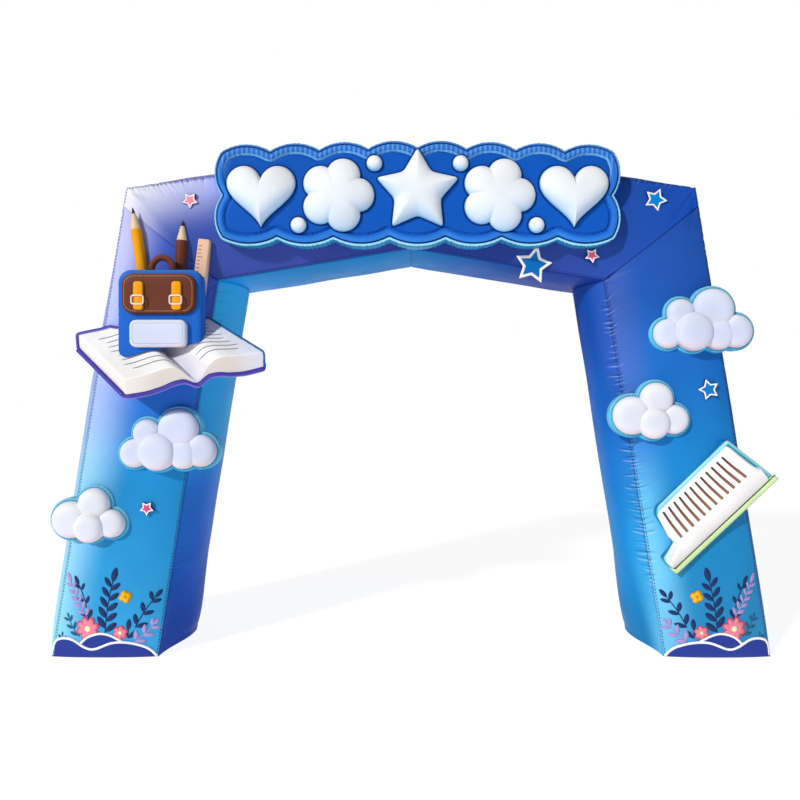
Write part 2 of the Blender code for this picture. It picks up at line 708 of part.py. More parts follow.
def build_book(arch):
    """The cover, both page blocks, and the cutter that seats the satchel on the pages."""
    shares = [1.0 + COVER_MARGIN] + [row[0] for row in reversed(PAGE_BLOCK)]
    stations = [(-1, u) for u in shares] + [(1, u) for u in reversed(shares)]
    rings = []
    for side, u in stations:
        top = [book_point(side, u, v, 0.0) for v in (0.0, 0.5, 1.0, COVER_LIP)]
        low = [book_point(side, u, v, -COVER_THICK) for v in (COVER_LIP, 0.5, 0.0)]
        rings.append(top + low)
    carve(skin("book_cover", rings, "cover_violet"), arch)
    for side, word in ((-1, "left"), (1, "right")):
        carve(skin("book_page_" + word, page_rings(side), "page_white"), arch)
    under = page_rings(-1, -UNDER_PAGES, GAP) + page_rings(1, -UNDER_PAGES, GAP)
    return as_cutter(skin("page_clearance", under, "page_white"))


# ---- The satchel, two pencils and a ruler -----------------------------------------------------------
def rounded_rectangle(left, right, low, high, radius, steps=3):
    outline = []
    corners = ((right - radius, low + radius, -90), (right - radius, high - radius, 0),
               (left + radius, high - radius, 90), (left + radius, low + radius, 180))
    for x, z, start in corners:
        for i in range(steps + 1):
            angle = math.radians(start + 90 * i / steps)
            outline.append((x + radius * math.cos(angle), z + radius * math.sin(angle)))
    return outline


def padded_box(name, outline, back, front, edge, slot):
    """A slab that is rounded round its front and its back."""
    rings = [
        flat(inset(outline, edge), back),
        flat(inset(outline, 0.3 * edge), back + 0.3 * edge),
        flat(outline, back + edge),
        flat(outline, front - edge),
        flat(inset(outline, 0.3 * edge), front - 0.3 * edge),
        flat(inset(outline, edge), front),
    ]
    return skin(name, rings, slot)


def build_patch(name, patch, x, back):
    left, right = x - patch.half_width, x + patch.half_width
    outline = rounded_rectangle(left, right, patch.low, patch.high, patch.corner)
    panel(name, outline, back, back + patch.thick, patch.edge, patch.slot)


def build_satchel(pages):
    half = SATCHEL_WIDTH / 2
    body = rounded_rectangle(
        SATCHEL_X - half, SATCHEL_X + half, SATCHEL_BOTTOM_Z, SATCHEL_TOP_Z, SATCHEL_CORNER
    )
    carve(padded_box("satchel_body", body, SATCHEL_BACK, SATCHEL_FRONT, SATCHEL_EDGE, "satchel_blue"), pages)
    face = SATCHEL_FRONT + GAP
    build_patch("satchel_pocket", POCKET, SATCHEL_X, face)
    build_patch("satchel_flap", FLAP, SATCHEL_X, face)
    over = face + FLAP.thick + GAP
    build_patch("satchel_strap_left", STRAP, SATCHEL_X - STRAP_X, over)
    build_patch("satchel_strap_right", STRAP, SATCHEL_X + STRAP_X, over)


def build_handle():
    """A padded half-round tab on the satchel's top."""
    low = SATCHEL_TOP_Z + GAP
    turns = [math.pi * i / 12 for i in range(13)]
    outline = [(SATCHEL_X + HANDLE_RADIUS * math.cos(turn), low + HANDLE_RADIUS * math.sin(turn))
               for turn in turns]
    middle_depth = (SATCHEL_BACK + SATCHEL_FRONT) / 2
    rings = [
        flat(outline, middle_depth - HANDLE_HALF_THICK),
        flat(outline, middle_depth + 0.6 * HANDLE_HALF_THICK),
        flat([(x, mix(z, low, 0.12)) for x, z in outline], middle_depth + HANDLE_HALF_THICK),
    ]
    skin("satchel_handle", rings, "satchel_brown")


def build_pencil(pencil, *cutters):
    """A round rod with a cone at its top."""
    lean = math.radians(pencil.lean)
    up = Vector((-math.sin(lean), 0, math.cos(lean)))
    across = Vector((math.cos(lean), 0, math.sin(lean)))
    foot = Vector((pencil.foot_x, FRONT_Y - PENCIL_DEPTH, pencil.foot_z))
    rings = []
    for share, width in ((0.0, 1.0), (PENCIL_SHOULDER, 1.0), PENCIL_TIP):
        centre = foot + up * pencil.length * share
        ring = []
        for i in range(PENCIL_SIDES):
            turn = math.tau * i / PENCIL_SIDES
            round_it = across * math.cos(turn) + Vector((0, math.sin(turn), 0))
            ring.append(centre + round_it * pencil.radius * width)
        rings.append(ring)
    rings.append([foot + up * pencil.length])
    carve(skin(pencil.name, rings, pencil.slot), *cutters)


def build_ruler(*cutters):
    width, length = RULER_SIZE
    x, z = RULER_FOOT
    c, s = math.cos(RULER_LEAN), math.sin(RULER_LEAN)
    upright = rounded_rectangle(-width / 2, width / 2, 0.0, length, RULER_CORNER, steps=1)
    outline = [(x + a * c - b * s, z + a * s + b * c) for a, b in upright]
    carve(panel("ruler", outline, RULER_BACK, RULER_FRONT, RULER_EDGE, "ruler_peach"), *cutters)


# ---- The notebook -----------------------------------------------------------------------------------
def notebook_place(p, q):
    x, z = NOTEBOOK_CORNER
    c, s = math.cos(NOTEBOOK_TURN), math.sin(NOTEBOOK_TURN)
    return (x + p * c - q * s, z + p * s + q * c)


def notebook_strip(name, stations, profile, back, slot):
    """A solid along p. stations are (p, low q, high q), and profile is (share from low to high q, depth)."""
    rings = []
    for p, low, high in stations:
        ring = []
        for share, depth in profile:
            x, z = notebook_place(p, mix(low, high, share))
            ring.append(Vector((x, FRONT_Y - depth, z)))
        for share in (1.0, 0.0):
            x, z = notebook_place(p, mix(low, high, share))
            ring.append(Vector((x, FRONT_Y - back, z)))
        rings.append(ring)
    return skin(name, rings, slot)


def over_cover(profile, back):
    return [(share, back + height) for share, height in profile]


def build_notebook(arch):
    cover = [notebook_place(p, q) for p, q in NOTEBOOK_COVER]
    front = SEAT_Y + NOTEBOOK_COVER_THICK
    carve(panel("notebook_cover", cover, SEAT_Y, front, NOTEBOOK_COVER_EDGE, "rim_cyan"), arch)
    high = NOTEBOOK_STRIP_WIDE - GAP
    long_edge = ((0.0, 0.0), (NOTEBOOK_STRIP_LONG, 0.0), (NOTEBOOK_COVER[1][0], high), (0.0, high))
    edge = [notebook_place(p, q) for p, q in long_edge]
    edge_front = SEAT_Y + NOTEBOOK_STRIP_THICK
    carve(panel("notebook_edge", edge, SEAT_Y, edge_front, NOTEBOOK_STRIP_EDGE, "notebook_green"), arch)
    back = front + GAP
    block, page = over_cover(BLOCK_PROFILE, back), over_cover(PAGE_PROFILE, back)
    notebook_strip("notebook_block", BLOCK_STATIONS, block, back, "page_white")
    notebook_strip("notebook_page", PAGE_STATIONS, page, back, "page_white")


def main():
    clear_scene()
    arch = build_arch()
    build_sign(arch)
    for cloud in CLOUDS:
        build_cloud(cloud, arch)
    for star in STARS:
        build_star(star, arch)
    pages = build_book(arch)
    build_satchel(pages)
    build_handle()
    for pencil in PENCILS:
        build_pencil(pencil, arch, pages)
    build_ruler(arch, pages)
    build_notebook(arch)


main()
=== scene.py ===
"""Looks of the inflatable entrance arch: fine skins with gathered seams, print, stitching and finishes.

Metres, +Z up, X across the arch, the front faces -Y, and the feet stand on Z = 0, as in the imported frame.
The driving sizes repeat the part's own. Every soft piece replaces the plain solid that it stands for.
"""

import math
from collections import namedtuple

import bpy
import numpy as np
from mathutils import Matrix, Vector
from mathutils.bvhtree import BVHTree
from mathutils.geometry import delaunay_2d_cdt
from mathutils.kdtree import KDTree


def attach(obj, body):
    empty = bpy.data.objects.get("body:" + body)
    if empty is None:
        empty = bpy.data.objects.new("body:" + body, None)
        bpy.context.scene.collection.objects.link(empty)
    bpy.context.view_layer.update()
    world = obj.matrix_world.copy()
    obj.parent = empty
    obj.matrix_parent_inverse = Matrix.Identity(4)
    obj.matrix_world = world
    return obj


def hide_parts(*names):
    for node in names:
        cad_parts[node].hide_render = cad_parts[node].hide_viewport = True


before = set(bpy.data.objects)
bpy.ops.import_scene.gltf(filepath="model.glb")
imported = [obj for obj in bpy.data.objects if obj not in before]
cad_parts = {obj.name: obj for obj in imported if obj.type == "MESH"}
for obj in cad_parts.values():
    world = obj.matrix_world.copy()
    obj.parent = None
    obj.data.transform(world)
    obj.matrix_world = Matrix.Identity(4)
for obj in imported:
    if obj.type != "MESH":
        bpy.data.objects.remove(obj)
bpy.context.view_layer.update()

# ---- Camera --------------------
CAMERA_PLACE = (0.0, -8.565, 2.96)
CAMERA_LENS = 33.21  # mm on a 36 mm sensor
CAMERA_SHIFT = (-0.01375, -0.0125)

# ---- The arch, seam line to seam line, as in the part --------------------
BASE_OUTER = np.array((4.00, 0.0))  # x, z of the outer seam at the floor
BASE_INNER = np.array((2.80, 0.0))
KNEE_OUTER = np.array((3.17, 5.215))
KNEE_INNER = np.array((2.14, 4.175))
RIDGE_OUTER = np.array((0.0, 5.63))
RIDGE_INNER = np.array((0.0, 4.53))
KNEE_SEAM_Z = 5.01
SEAM_OUTER = BASE_OUTER + (KNEE_OUTER - BASE_OUTER) * (KNEE_SEAM_Z / KNEE_OUTER[1])
DEPTH = 1.20
FRONT_Y = -0.365

# how far the panels bulge between their seams: front and back, outer side, inner side, and those of the beam
FACE_CROWN = 0.13
OUTER_CROWN = 0.17
SIDE_SWELL = 0.03  # the left leg's outer side bulges by that much more, and the right leg's by that much less
INNER_CROWN = 0.185
BEAM_INNER_CROWN = 0.06
BEAM_TOP_CROWN = 0.14
SEAM_OUTER_CROWN = 0.09
CORNER_CROWN = 0.3 * BEAM_TOP_CROWN
CROWN_POWER = 2.4
SEAM_TUCK = 0.005  # how far a seam is drawn in
TUCK_FROM, TUCK_OVER = 0.80, 0.20  # the tuck starts at this share of the way to a corner, and takes the rest

# share of a leg's height and share of the full crown, then share of the way along the beam and its inner push
FACE_FULLNESS = ((0.0, 0.25), (0.012, 0.48), (0.035, 0.74), (0.075, 0.94), (0.12, 1.0), (1.0, 1.0))
SIDE_FULLNESS = ((0.0, 0.62), (0.012, 0.78), (0.035, 0.90), (0.075, 0.97), (0.12, 1.0), (1.0, 1.0))
LEVEL_PUSH = ((0.0, INNER_CROWN), (0.05, 0.7 * INNER_CROWN), (0.16, 0.0), (1.0, 0.0))
DOWN_PUSH = ((0.0, 0.0), (0.05, 0.4 * BEAM_INNER_CROWN), (0.2, BEAM_INNER_CROWN), (1.0, BEAM_INNER_CROWN))
# share of the way along the beam's inner seam, share along its top edge, crown of the top there
CORNER_TABLE = ((0.018, 0.0, CORNER_CROWN), (0.034, 0.05, 2 * CORNER_CROWN), (0.12, 0.208, BEAM_TOP_CROWN),
                (1.0, 1.0, BEAM_TOP_CROWN))

FACE_STEPS = 26
SIDE_STEPS = 20
RING_PITCH = 0.008
SEAM_MARKS = np.array((0.0, 0.005, 0.012, 0.024))  # the mesh has points this far from each seam
SEAM_GROOVE, GROOVE_WIDTH = 0.007, 0.008
SEAM_LINE, JOINT_LINE = 0.010, 0.007  # widths of the thread line along a seam and at a chamber's ends
KNEE_LINE = {-1: 0.35, 1: 0.8}  # how dark the seams at the knees and the ridge are, by side
STEEP_CREASE = 0.7  # slope at which a crease is fully lit or shaded
GATHER_RUN, SWELL_RUN = 0.06, 0.3  # distance from a chamber's end at which they have their full depth
FOLD_RUN = 0.05  # distance from a seam at which a fold has its full depth
END_STRIP = 0.004  # the start of a chamber that stays where the solid's is
SWELL, SWELL_WAVES = 0.0016, 7
CREASE_WIDTH = (0.009, 0.018)
CREASE_SLOPE = 0.14  # spread of how much a crease leans from square to its seam
# lowest and highest depth, reach and pitch of a crease, as shares of its gather's own
CREASE_DEPTHS, CREASE_REACHES, CREASE_PITCHES = (0.35, 1.25), (0.35, 1.6), (0.5, 1.6)
FRONT_INNER, FRONT_OUTER, BACK_OUTER, BACK_INNER = range(4)  # the four seams, and the panel after each
LEG, BEAM = "leg", "beam"
SIDES = (("left", -1), ("right", 1))

# creases off a seam: where they run, their pitch, depth, and reach on the panel before it and after it
Gather = namedtuple("Gather", "seam start end pitch depth before after")
GATHERS = {
    "leg_left": (
        Gather(FRONT_INNER, 0.05, 4.00, 0.110, 0.007, 0.10, 0.05),
        Gather(FRONT_INNER, 3.60, 4.95, 0.050, 0.010, 0.16, 0.05),
        Gather(FRONT_OUTER, 0.05, 5.00, 0.075, 0.007, 0.06, 0.10),
    ),
    "leg_right": (
        Gather(FRONT_INNER, 0.10, 1.30, 0.060, 0.014, 0.20, 0.10),
        Gather(FRONT_INNER, 1.00, 2.75, 0.034, 0.020, 0.22, 0.16),
        Gather(FRONT_INNER, 2.60, 4.80, 0.047, 0.015, 0.17, 0.12),
        Gather(FRONT_OUTER, 0.05, 5.00, 0.100, 0.006, 0.05, 0.10),
    ),
    "beam_left": (
        Gather(FRONT_OUTER, 0.25, 3.20, 0.060, 0.014, 0.16, 0.14),
        Gather(FRONT_INNER, 0.10, 3.20, 0.140, 0.005, 0.05, 0.05),
    ),
    "beam_right": (
        Gather(FRONT_OUTER, 0.25, 3.20, 0.085, 0.009, 0.10, 0.12),
        Gather(FRONT_INNER, 0.10, 3.20, 0.140, 0.005, 0.05, 0.05),
    ),
}
BACK_GATHERS = {
    LEG: tuple(Gather(seam, 0.05, 5.00, 0.070, depth, 0.12, 0.12)
               for seam, depth in ((BACK_OUTER, 0.010), (BACK_INNER, 0.012))),
    BEAM: (
        Gather(BACK_OUTER, 0.25, 3.20, 0.070, 0.011, 0.12, 0.12),
        Gather(BACK_INNER, 0.10, 3.20, 0.090, 0.008, 0.08, 0.10),
    ),
}
# long soft creases of the front: start and end as x, z, half width, depth
Fold = namedtuple("Fold", "start end width depth")
FOLDS = (
    Fold((3.13, 5.16), (2.55, 4.98), 0.035, 0.016),
    Fold((3.13, 5.14), (2.78, 4.72), 0.030, 0.014),
    Fold((3.15, 5.08), (3.02, 4.45), 0.030, 0.012),
    Fold((3.10, 5.19), (2.50, 5.18), 0.030, 0.012),
    Fold((2.18, 4.20), (2.75, 4.45), 0.035, 0.014),
    Fold((2.20, 4.14), (2.72, 4.02), 0.035, 0.012),
    Fold((2.14, 4.24), (1.60, 4.62), 0.035, 0.010),
    Fold((-3.13, 5.16), (-2.70, 5.05), 0.030, 0.014),
    Fold((-3.13, 5.12), (-2.90, 4.72), 0.030, 0.014),
    Fold((-2.16, 4.20), (-2.60, 4.42), 0.035, 0.012),
    Fold((-2.20, 4.12), (-2.60, 3.90), 0.035, 0.010),
)

GAP = 0.0003  # between neighbouring pieces
SEAT_Y = 0.02  # how far in front of the seam plane the backs on the arch start, before they are seated

# ---- Finishes --------------------
NYLON_ROUGHNESS = 0.40
ROUGHNESS_RANGE = (0.36, 0.46)
MOTTLE_RANGE = (0.94, 1.05)
NOISE_BAND = (0.3, 0.7)  # most of a noise lies between these values
THREAD_PITCH = 0.004
GRADIENT_TOP = 5.6
# colour of the dark thread line along the seams, also used as the painted shade on creases; then the painted
# light on creases
SEAM_LINE_AND_CREASE_SHADE, CREASE_LIGHT = "#16296e", "#c4e6ff"
SEAM_SHARE = 0.6
SHINE, SHADED_SHINE = 0.09, 0.03
SHADED_PANELS = ("left_inner", "right_inner", "beam_under")
TOP_REACH, UNDER_REACH = 3.2, 2.1  # x at which the colours of the beam's front and underside end
# the reach over which the painted highlight by a side panel's front seam fades
SIDE_SHADE_REACH = 0.36  # from the front seam back, over which a side panel's colour changes


def srgb(code):
    """A colour written as #rrggbb, as linear values."""
    parts = [int(code[i:i + 2], 16) / 255 for i in (1, 3, 5)]
    return tuple(p / 12.92 if p <= 0.04045 else ((p + 0.055) / 1.055) ** 2.4 for p in parts) + (1.0,)


class Paint:
    """A node material: a Principled shader and short calls that add nodes to it."""

    def __init__(self, name, roughness=NYLON_ROUGHNESS, specular=0.5):
        self.material = bpy.data.materials.new(name)
        self.material.use_nodes = True
        self.tree = self.material.node_tree
        self.shader = self.tree.nodes["Principled BSDF"]
        self.set(self.shader, {"Roughness": roughness, "Specular IOR Level": specular})
        self.place = self.add("ShaderNodeTexCoord").outputs["Object"]

    def set(self, node, inputs):
        """Links each input to a socket or gives it a value. A colour may be written as #rrggbb."""
        for key, value in inputs.items():
            if isinstance(value, bpy.types.NodeSocket):
                self.tree.links.new(value, node.inputs[key])
            else:
                node.inputs[key].default_value = srgb(value) if isinstance(value, str) else value
        return node

    def add(self, kind, inputs=None, **settings):
        made = self.tree.nodes.new(kind)
        for key, value in settings.items():
            setattr(made, key, value)
        return self.set(made, inputs or {})

    def axis(self, which):
        return self.add("ShaderNodeSeparateXYZ", {"Vector": self.place}).outputs[which]

    def attribute(self, name):
        return self.add("ShaderNodeAttribute", attribute_name=name).outputs["Fac"]

    def math(self, operation, a, b=0.0, c=0.0):
        return self.add("ShaderNodeMath", {0: a, 1: b, 2: c}, operation=operation).outputs[0]

    def times(self, a, b):
        return self.math("MULTIPLY", a, b)

    def noise(self, scale, detail=3.0):
        inputs = {"Vector": self.place, "Scale": scale, "Detail": detail}
        return self.add("ShaderNodeTexNoise", inputs).outputs["Fac"]

    def spread(self, value, low, high, to_low=0.0, to_high=1.0, smooth=True):
        inputs = {"Value": value, "From Min": low, "From Max": high, "To Min": to_low, "To Max": to_high}
        kind = "SMOOTHSTEP" if smooth else "LINEAR"
        return self.add("ShaderNodeMapRange", inputs, interpolation_type=kind).outputs["Result"]

    def ramp(self, value, stops):
        made = self.add("ShaderNodeValToRGB", {"Fac": value})
        elements = made.color_ramp.elements
        while len(elements) < len(stops):
            elements.new(0.5)
        for element, (place, code) in zip(elements, stops):
            element.position = place
            element.color = srgb(code)
        return made.outputs["Color"]

    def mix(self, share, a, b, blend="MIX"):
        made = self.add("ShaderNodeMix", {0: share, 6: a, 7: b}, data_type="RGBA", blend_type=blend)
        return made.outputs[2]

    def bump(self, *layers):
        """Bumps the shader's normal by layers of (height, strength, distance), each upon the last."""
        normal = {}
        for height, strength, distance in layers:
            inputs = {"Height": height, "Strength": strength, "Distance": distance, **normal}
            normal = {"Normal": self.add("ShaderNodeBump", inputs).outputs["Normal"]}
        self.set(self.shader, normal)

    def weave(self):
        """Threads that cross at right angles, as a height."""
        threads = []
        for which in ("X", "Z"):
            wave = self.math("SINE", self.times(self.axis(which), 2 * math.pi / THREAD_PITCH))
            threads.append(self.math("MULTIPLY_ADD", wave, 0.5, 0.5))
        return self.times(*threads)


def nylon(name, build, wrinkle=0.35, shine=SHINE):
    """Coated woven nylon with slow mottling. build is its colour, or a function that makes it."""
    paint = Paint(name, specular=shine)
    colour = build(paint) if callable(build) else paint.mix(0.0, build, build)
    mottle = paint.spread(paint.noise(1.7, 4.0), *NOISE_BAND, *MOTTLE_RANGE)
    tint = paint.add("ShaderNodeCombineColor", {"Red": mottle, "Green": mottle, "Blue": mottle})
    paint.set(paint.shader, {"Base Color": paint.mix(1.0, colour, tint.outputs["Color"], "MULTIPLY"),
                             "Roughness": paint.spread(paint.noise(3.0), *NOISE_BAND, *ROUGHNESS_RANGE)})
    paint.bump((paint.weave(), 0.12, 0.0006), (paint.noise(9.0, 4.0), wrinkle, 0.004),
               (paint.noise(2.2, 2.0), wrinkle, 0.018))
    return paint.material


def gradient(*stops):
    """A colour that changes with the height, of which 1 is the arch's top."""
    return lambda paint: paint.ramp(paint.math("DIVIDE", paint.axis("Z"), GRADIENT_TOP), stops)


def with_seams(build):
    """Adds the dark thread line along the seams, and light and shade on the creases that run off them."""
    def made(paint):
        # painted light on the side of each crease that faces the light, painted shade on the side that faces
        # away
        painted_crease_light = paint.spread(paint.attribute("lit"), 0.1, 1.0, 0.0, 0.34)
        shaded = paint.spread(paint.attribute("lit"), -1.0, -0.1, 0.42, 0.0)
        colour = paint.mix(shaded, paint.mix(painted_crease_light, build(paint), CREASE_LIGHT), SEAM_LINE_AND_CREASE_SHADE)
        return paint.mix(paint.times(paint.attribute("seam"), SEAM_SHARE), colour, SEAM_LINE_AND_CREASE_SHADE)
    return made


def along_beam(reach, *stops):
    """A colour that changes along the beam, from as far on the left as on the right."""
    return lambda paint: paint.ramp(paint.spread(paint.axis("X"), -reach, reach, smooth=False), stops)


def across_blend(build, other, low, high, at_foot=0.0):
    """build on the inner part of a front panel and other past high, by the share of the way across it. At the
    foot the change lies that much further out."""
    def made(paint):
        shift = paint.spread(paint.axis("Z"), 0.8, 2.6, at_foot, 0.0)
        weight = paint.spread(paint.math("SUBTRACT", paint.attribute("across"), shift), low, high)
        return paint.mix(weight, build(paint), other(paint))
    return made


def from_seam(build, other):
    """build at the front seam of a side panel and other further back."""
    def made(paint):
        weight = paint.spread(paint.axis("Y"), FRONT_Y, FRONT_Y + SIDE_SHADE_REACH)
        return paint.mix(weight, build(paint), other(paint))
    return made


# ---- Numbers along tables and outlines --------------------
def cubic(x, y, slopes, at):
    """A curve through points with those slopes, read at places between the first and the last."""
    at = np.clip(np.asarray(at, float), x[0], x[-1])
    i = np.clip(np.searchsorted(x, at, side="right") - 1, 0, len(x) - 2)
    h = x[i + 1] - x[i]
    t = (at - x[i]) / h
    return (y[i] * (2 * t**3 - 3 * t**2 + 1) + h * slopes[i] * (t**3 - 2 * t**2 + t)
            + y[i + 1] * (3 * t**2 - 2 * t**3) + h * slopes[i + 1] * (t**3 - t**2))


def smooth_table(table, at):
    """A table of (position, value) rows, read with a curve that doesn't overshoot."""
    x, y = np.array(table, float).T
    steps = np.diff(y) / np.diff(x)
    slopes = np.concatenate([steps[:1], np.zeros(len(x) - 2), steps[-1:]])
    for i in range(1, len(x) - 1):
        if steps[i - 1] * steps[i] > 0:
            slopes[i] = 2.0 / (1.0 / steps[i - 1] + 1.0 / steps[i])
    return cubic(x, y, slopes, at)


def read_along(points, along, at):
    """The points of a line at some places along it."""
    return np.stack([np.interp(at, along, column) for column in points.T], axis=1)


def travelled(points):
    """How far along a line each of its points lies."""
    return np.concatenate([[0.0], np.cumsum(np.linalg.norm(np.diff(points, axis=0), axis=1))])


def mix(a, b, share):
    return a + (b - a) * share


def as_one_shape(*values):
    return np.broadcast_arrays(*(np.asarray(value, float) for value in values))


def unit(vectors):
    return vectors / np.maximum(np.linalg.norm(vectors, axis=-1, keepdims=True), 1e-12)


def crown(share):
    """Height of a crowned panel over the share of the way across it."""
    return 1.0 - np.abs(2.0 * share - 1.0) ** CROWN_POWER


def ring_closed(points):
    return np.vstack([points, points[:1]])


def resampled(outline, pitch, closed=True):
    """Points along the outline at an even pitch."""
    points = np.asarray(outline, float)
    if closed:
        points = ring_closed(points)
    along = travelled(points)
    count = max(3, int(round(along[-1] / pitch)))
    return read_along(points, along, np.linspace(0.0, along[-1], count + (not closed), endpoint=not closed))


def inset(outline, by):
    """The outline, anticlockwise as seen from the front, drawn in by one value or by one a point."""
    before = unit(outline - np.roll(outline, 1, axis=0))
    after = unit(np.roll(outline, -1, axis=0) - outline)
    normal = unit(np.stack([before[:, 1] + after[:, 1], -before[:, 0] - after[:, 0]], axis=1))
    facing = np.sum(normal * np.stack([after[:, 1], -after[:, 0]], axis=1), axis=1)
    stretch = np.minimum(1.4, 1.0 / np.maximum(0.3, facing))
    return outline - normal * (by * stretch)[:, None]


# ---- Meshes --------------------
def signed_volume(points, faces):
    """Six times the volume within the faces, negative when they face inwards."""
    a, b, c = points[faces[:, 0]], points[faces[:, 1]], points[faces[:, 2]]
    volume = np.einsum("ij,ij->i", a, np.cross(b, c)).sum()
    if faces.shape[1] == 4:
        d = points[faces[:, 3]]
        volume += np.einsum("ij,ij->i", a, np.cross(c, d)).sum()
    return volume


def make_object(name, points, faces, materials, face_slots=None, attributes=None, sharp=None):
    """A mesh object. faces is a list of arrays of equal rows. It is turned so that its faces point out."""
    volume = sum(signed_volume(points, rows) for rows in faces if len(rows))
    rows = [rows[:, ::-1] if volume < 0 else rows for rows in faces if len(rows)]
    mesh = bpy.data.meshes.new(name)
    mesh.from_pydata(points.tolist(), [], [row for group in rows for row in group.tolist()])
    for material in materials:
        mesh.materials.append(material)
    if face_slots is not None:
        mesh.polygons.foreach_set("material_index", np.asarray(face_slots, np.int32))
    for key, values in (attributes or {}).items():
        column = mesh.attributes.new(key, "FLOAT", "POINT")
        column.data.foreach_set("value", np.asarray(values, np.float32).ravel())
    mesh.shade_smooth()
    if sharp:
        mesh.set_sharp_from_angle(angle=math.radians(sharp))
    mesh.update()
    obj = bpy.data.objects.new(name, mesh)
    bpy.context.scene.collection.objects.link(obj)
    return obj


def ring_quads(n, m):
    """The quads between n rings of m points."""
    i, j = np.meshgrid(np.arange(n - 1), np.arange(m), indexing="ij")
    k = (j + 1) % m
    return np.stack([i * m + j, i * m + k, (i + 1) * m + k, (i + 1) * m + j], axis=-1).reshape(-1, 4)


def turned_quads(n, m):
    """The same quads seen from the other side, each from the same first point."""
    return np.roll(ring_quads(n, m)[:, ::-1], 1, axis=1)


def fan(middle, ring):
    """Triangles from a middle point to each side of a ring."""
    return np.stack([np.full(len(ring), middle), ring, np.roll(ring, -1)], axis=1)


def loft(name, rings, materials, ring_slots=None, column_slots=None, attributes=None, sharp=None):
    """A closed skin through an array of rings, each end closed with a fan round its middle."""
    n, m, _ = rings.shape
    slots = np.zeros((n - 1, m), int)
    if ring_slots is not None:
        slots += np.asarray(ring_slots)[:, None]
    if column_slots is not None:
        slots += np.asarray(column_slots)[None, :]
    ring = np.arange(m)
    fans = np.concatenate([fan(n * m, ring)[:, [0, 2, 1]], fan(n * m + 1, (n - 1) * m + ring)])
    points = np.vstack([rings.reshape(-1, 3), rings[0].mean(0), rings[-1].mean(0)])
    face_slots = np.concatenate([slots.ravel(), slots[0], slots[-1]])
    padded = {key: np.concatenate([np.ravel(v), [np.ravel(v)[0], np.ravel(v)[-1]]])
              for key, v in (attributes or {}).items()}
    return make_object(name, points, [ring_quads(n, m), fans], materials, face_slots, padded, sharp)


def finish_piece(obj, slot, *nodes, fill=1.0):
    """Attaches a piece to the root body, where it rides, and hides the nodes that it stands for. Its slot and
    its filling are not used.
    """
    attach(obj, "root")
    if nodes:
        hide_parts(*nodes)


def padded_loft(node, slot, rings, materials, **settings):
    """A padded piece in the place of a node, lofted through a list of rings."""
    finish_piece(loft(node + "_padded", np.array(rings), materials, **settings), slot, node)


# ---- The inflated arch --------------------
Section = namedtuple("Section", "inner outer face inner_push outer_crown lag")
FOOT_LAG = 2.0  # how far the inner panel's crown leans back at the floor, and how high that reaches
FOOT_LAG_TOP = 0.24
LEAST_PUSH = 0.82  # share of the inner panel's crown that is left at the floor


def fine_shares(length, steps):
    """Shares from 0 up to 1, which is left out, of a panel of that length, closest together at its seams."""
    marks = SEAM_MARKS / length
    wide = (1.0 - np.cos(np.pi * np.arange(1, steps) / steps)) / 2.0
    edge = 1.5 * marks[-1]
    return np.concatenate([marks, mix(edge, 1.0 - edge, wide), 1.0 - marks[:0:-1]])


def section_ring(section, side):
    """The points round one cross-section, as in the part but closer together."""
    inner, outer = section.inner, section.outer
    width = np.linalg.norm(outer - inner)
    way = (outer - inner) / width
    face, flank = fine_shares(width, FACE_STEPS), fine_shares(DEPTH, SIDE_STEPS)
    across = np.concatenate([face * width, width + section.outer_crown * crown(flank), (1 - face) * width,
                             0 * flank])
    back = np.concatenate([-section.face * crown(face), flank * DEPTH, DEPTH + section.face * crown(face),
                           (1 - flank) * DEPTH])
    centre = np.array((width / 2, DEPTH / 2))
    away = np.stack([across, back], axis=1) - centre
    near_seam = np.maximum(0.0, np.linalg.norm(away, axis=1) / np.linalg.norm(centre) - TUCK_FROM) / TUCK_OVER
    away -= unit(away) * (SEAM_TUCK * near_seam)[:, None]
    x, z = (inner[k] + way[k] * (centre[0] + away[:, 0]) for k in (0, 1))
    push = np.concatenate([np.zeros(len(away) - len(flank)), crown((1 - flank) ** section.lag)])
    return np.stack([side * (x + section.inner_push[0] * push), FRONT_Y + centre[1] + away[:, 1],
                     z + section.inner_push[1] * push], axis=1)


def ring_marks(width):
    """For a ring's points: the panel, the ways from its first seam and to its second, the share across."""
    face, flank = fine_shares(width, FACE_STEPS), fine_shares(DEPTH, SIDE_STEPS)
    panels = np.repeat(np.arange(4), [len(face), len(flank), len(face), len(flank)])
    shares = np.concatenate([face, flank, face, flank])
    lengths = np.array((width, DEPTH, width, DEPTH))[panels]
    across = np.concatenate([face, 1 + 0 * flank, 1 - face, 0 * flank])
    return panels, shares * lengths, (1 - shares) * lengths, across


def end_marks(length, pitch):
    """Places along a chamber: at an even pitch, and closer together at its two ends."""
    even = np.linspace(SEAM_MARKS[-1] + pitch, length - SEAM_MARKS[-1] - pitch, int(length / pitch))
    return np.concatenate([SEAM_MARKS, even, length - SEAM_MARKS[::-1]])


def leg_sections(side):
    """The places of a leg's sections along its inner seam, and the sections."""
    along = end_marks(KNEE_SEAM_Z, RING_PITCH)
    swollen = OUTER_CROWN - side * SIDE_SWELL
    crowns = ((0.0, swollen), (0.55, swollen), (1.0, SEAM_OUTER_CROWN))
    sections = []
    for share in along / KNEE_SEAM_Z:
        full = float(smooth_table(SIDE_FULLNESS, share))
        sections.append(Section(mix(BASE_INNER, KNEE_INNER, share), mix(BASE_OUTER, SEAM_OUTER, share),
                                FACE_CROWN * float(smooth_table(FACE_FULLNESS, share)),
                                (-INNER_CROWN * max(full, LEAST_PUSH), 0.0),
                                full * float(smooth_table(crowns, share)),
                                np.interp(share, (0.0, FOOT_LAG_TOP), (FOOT_LAG, 1.0))))
    return along, sections


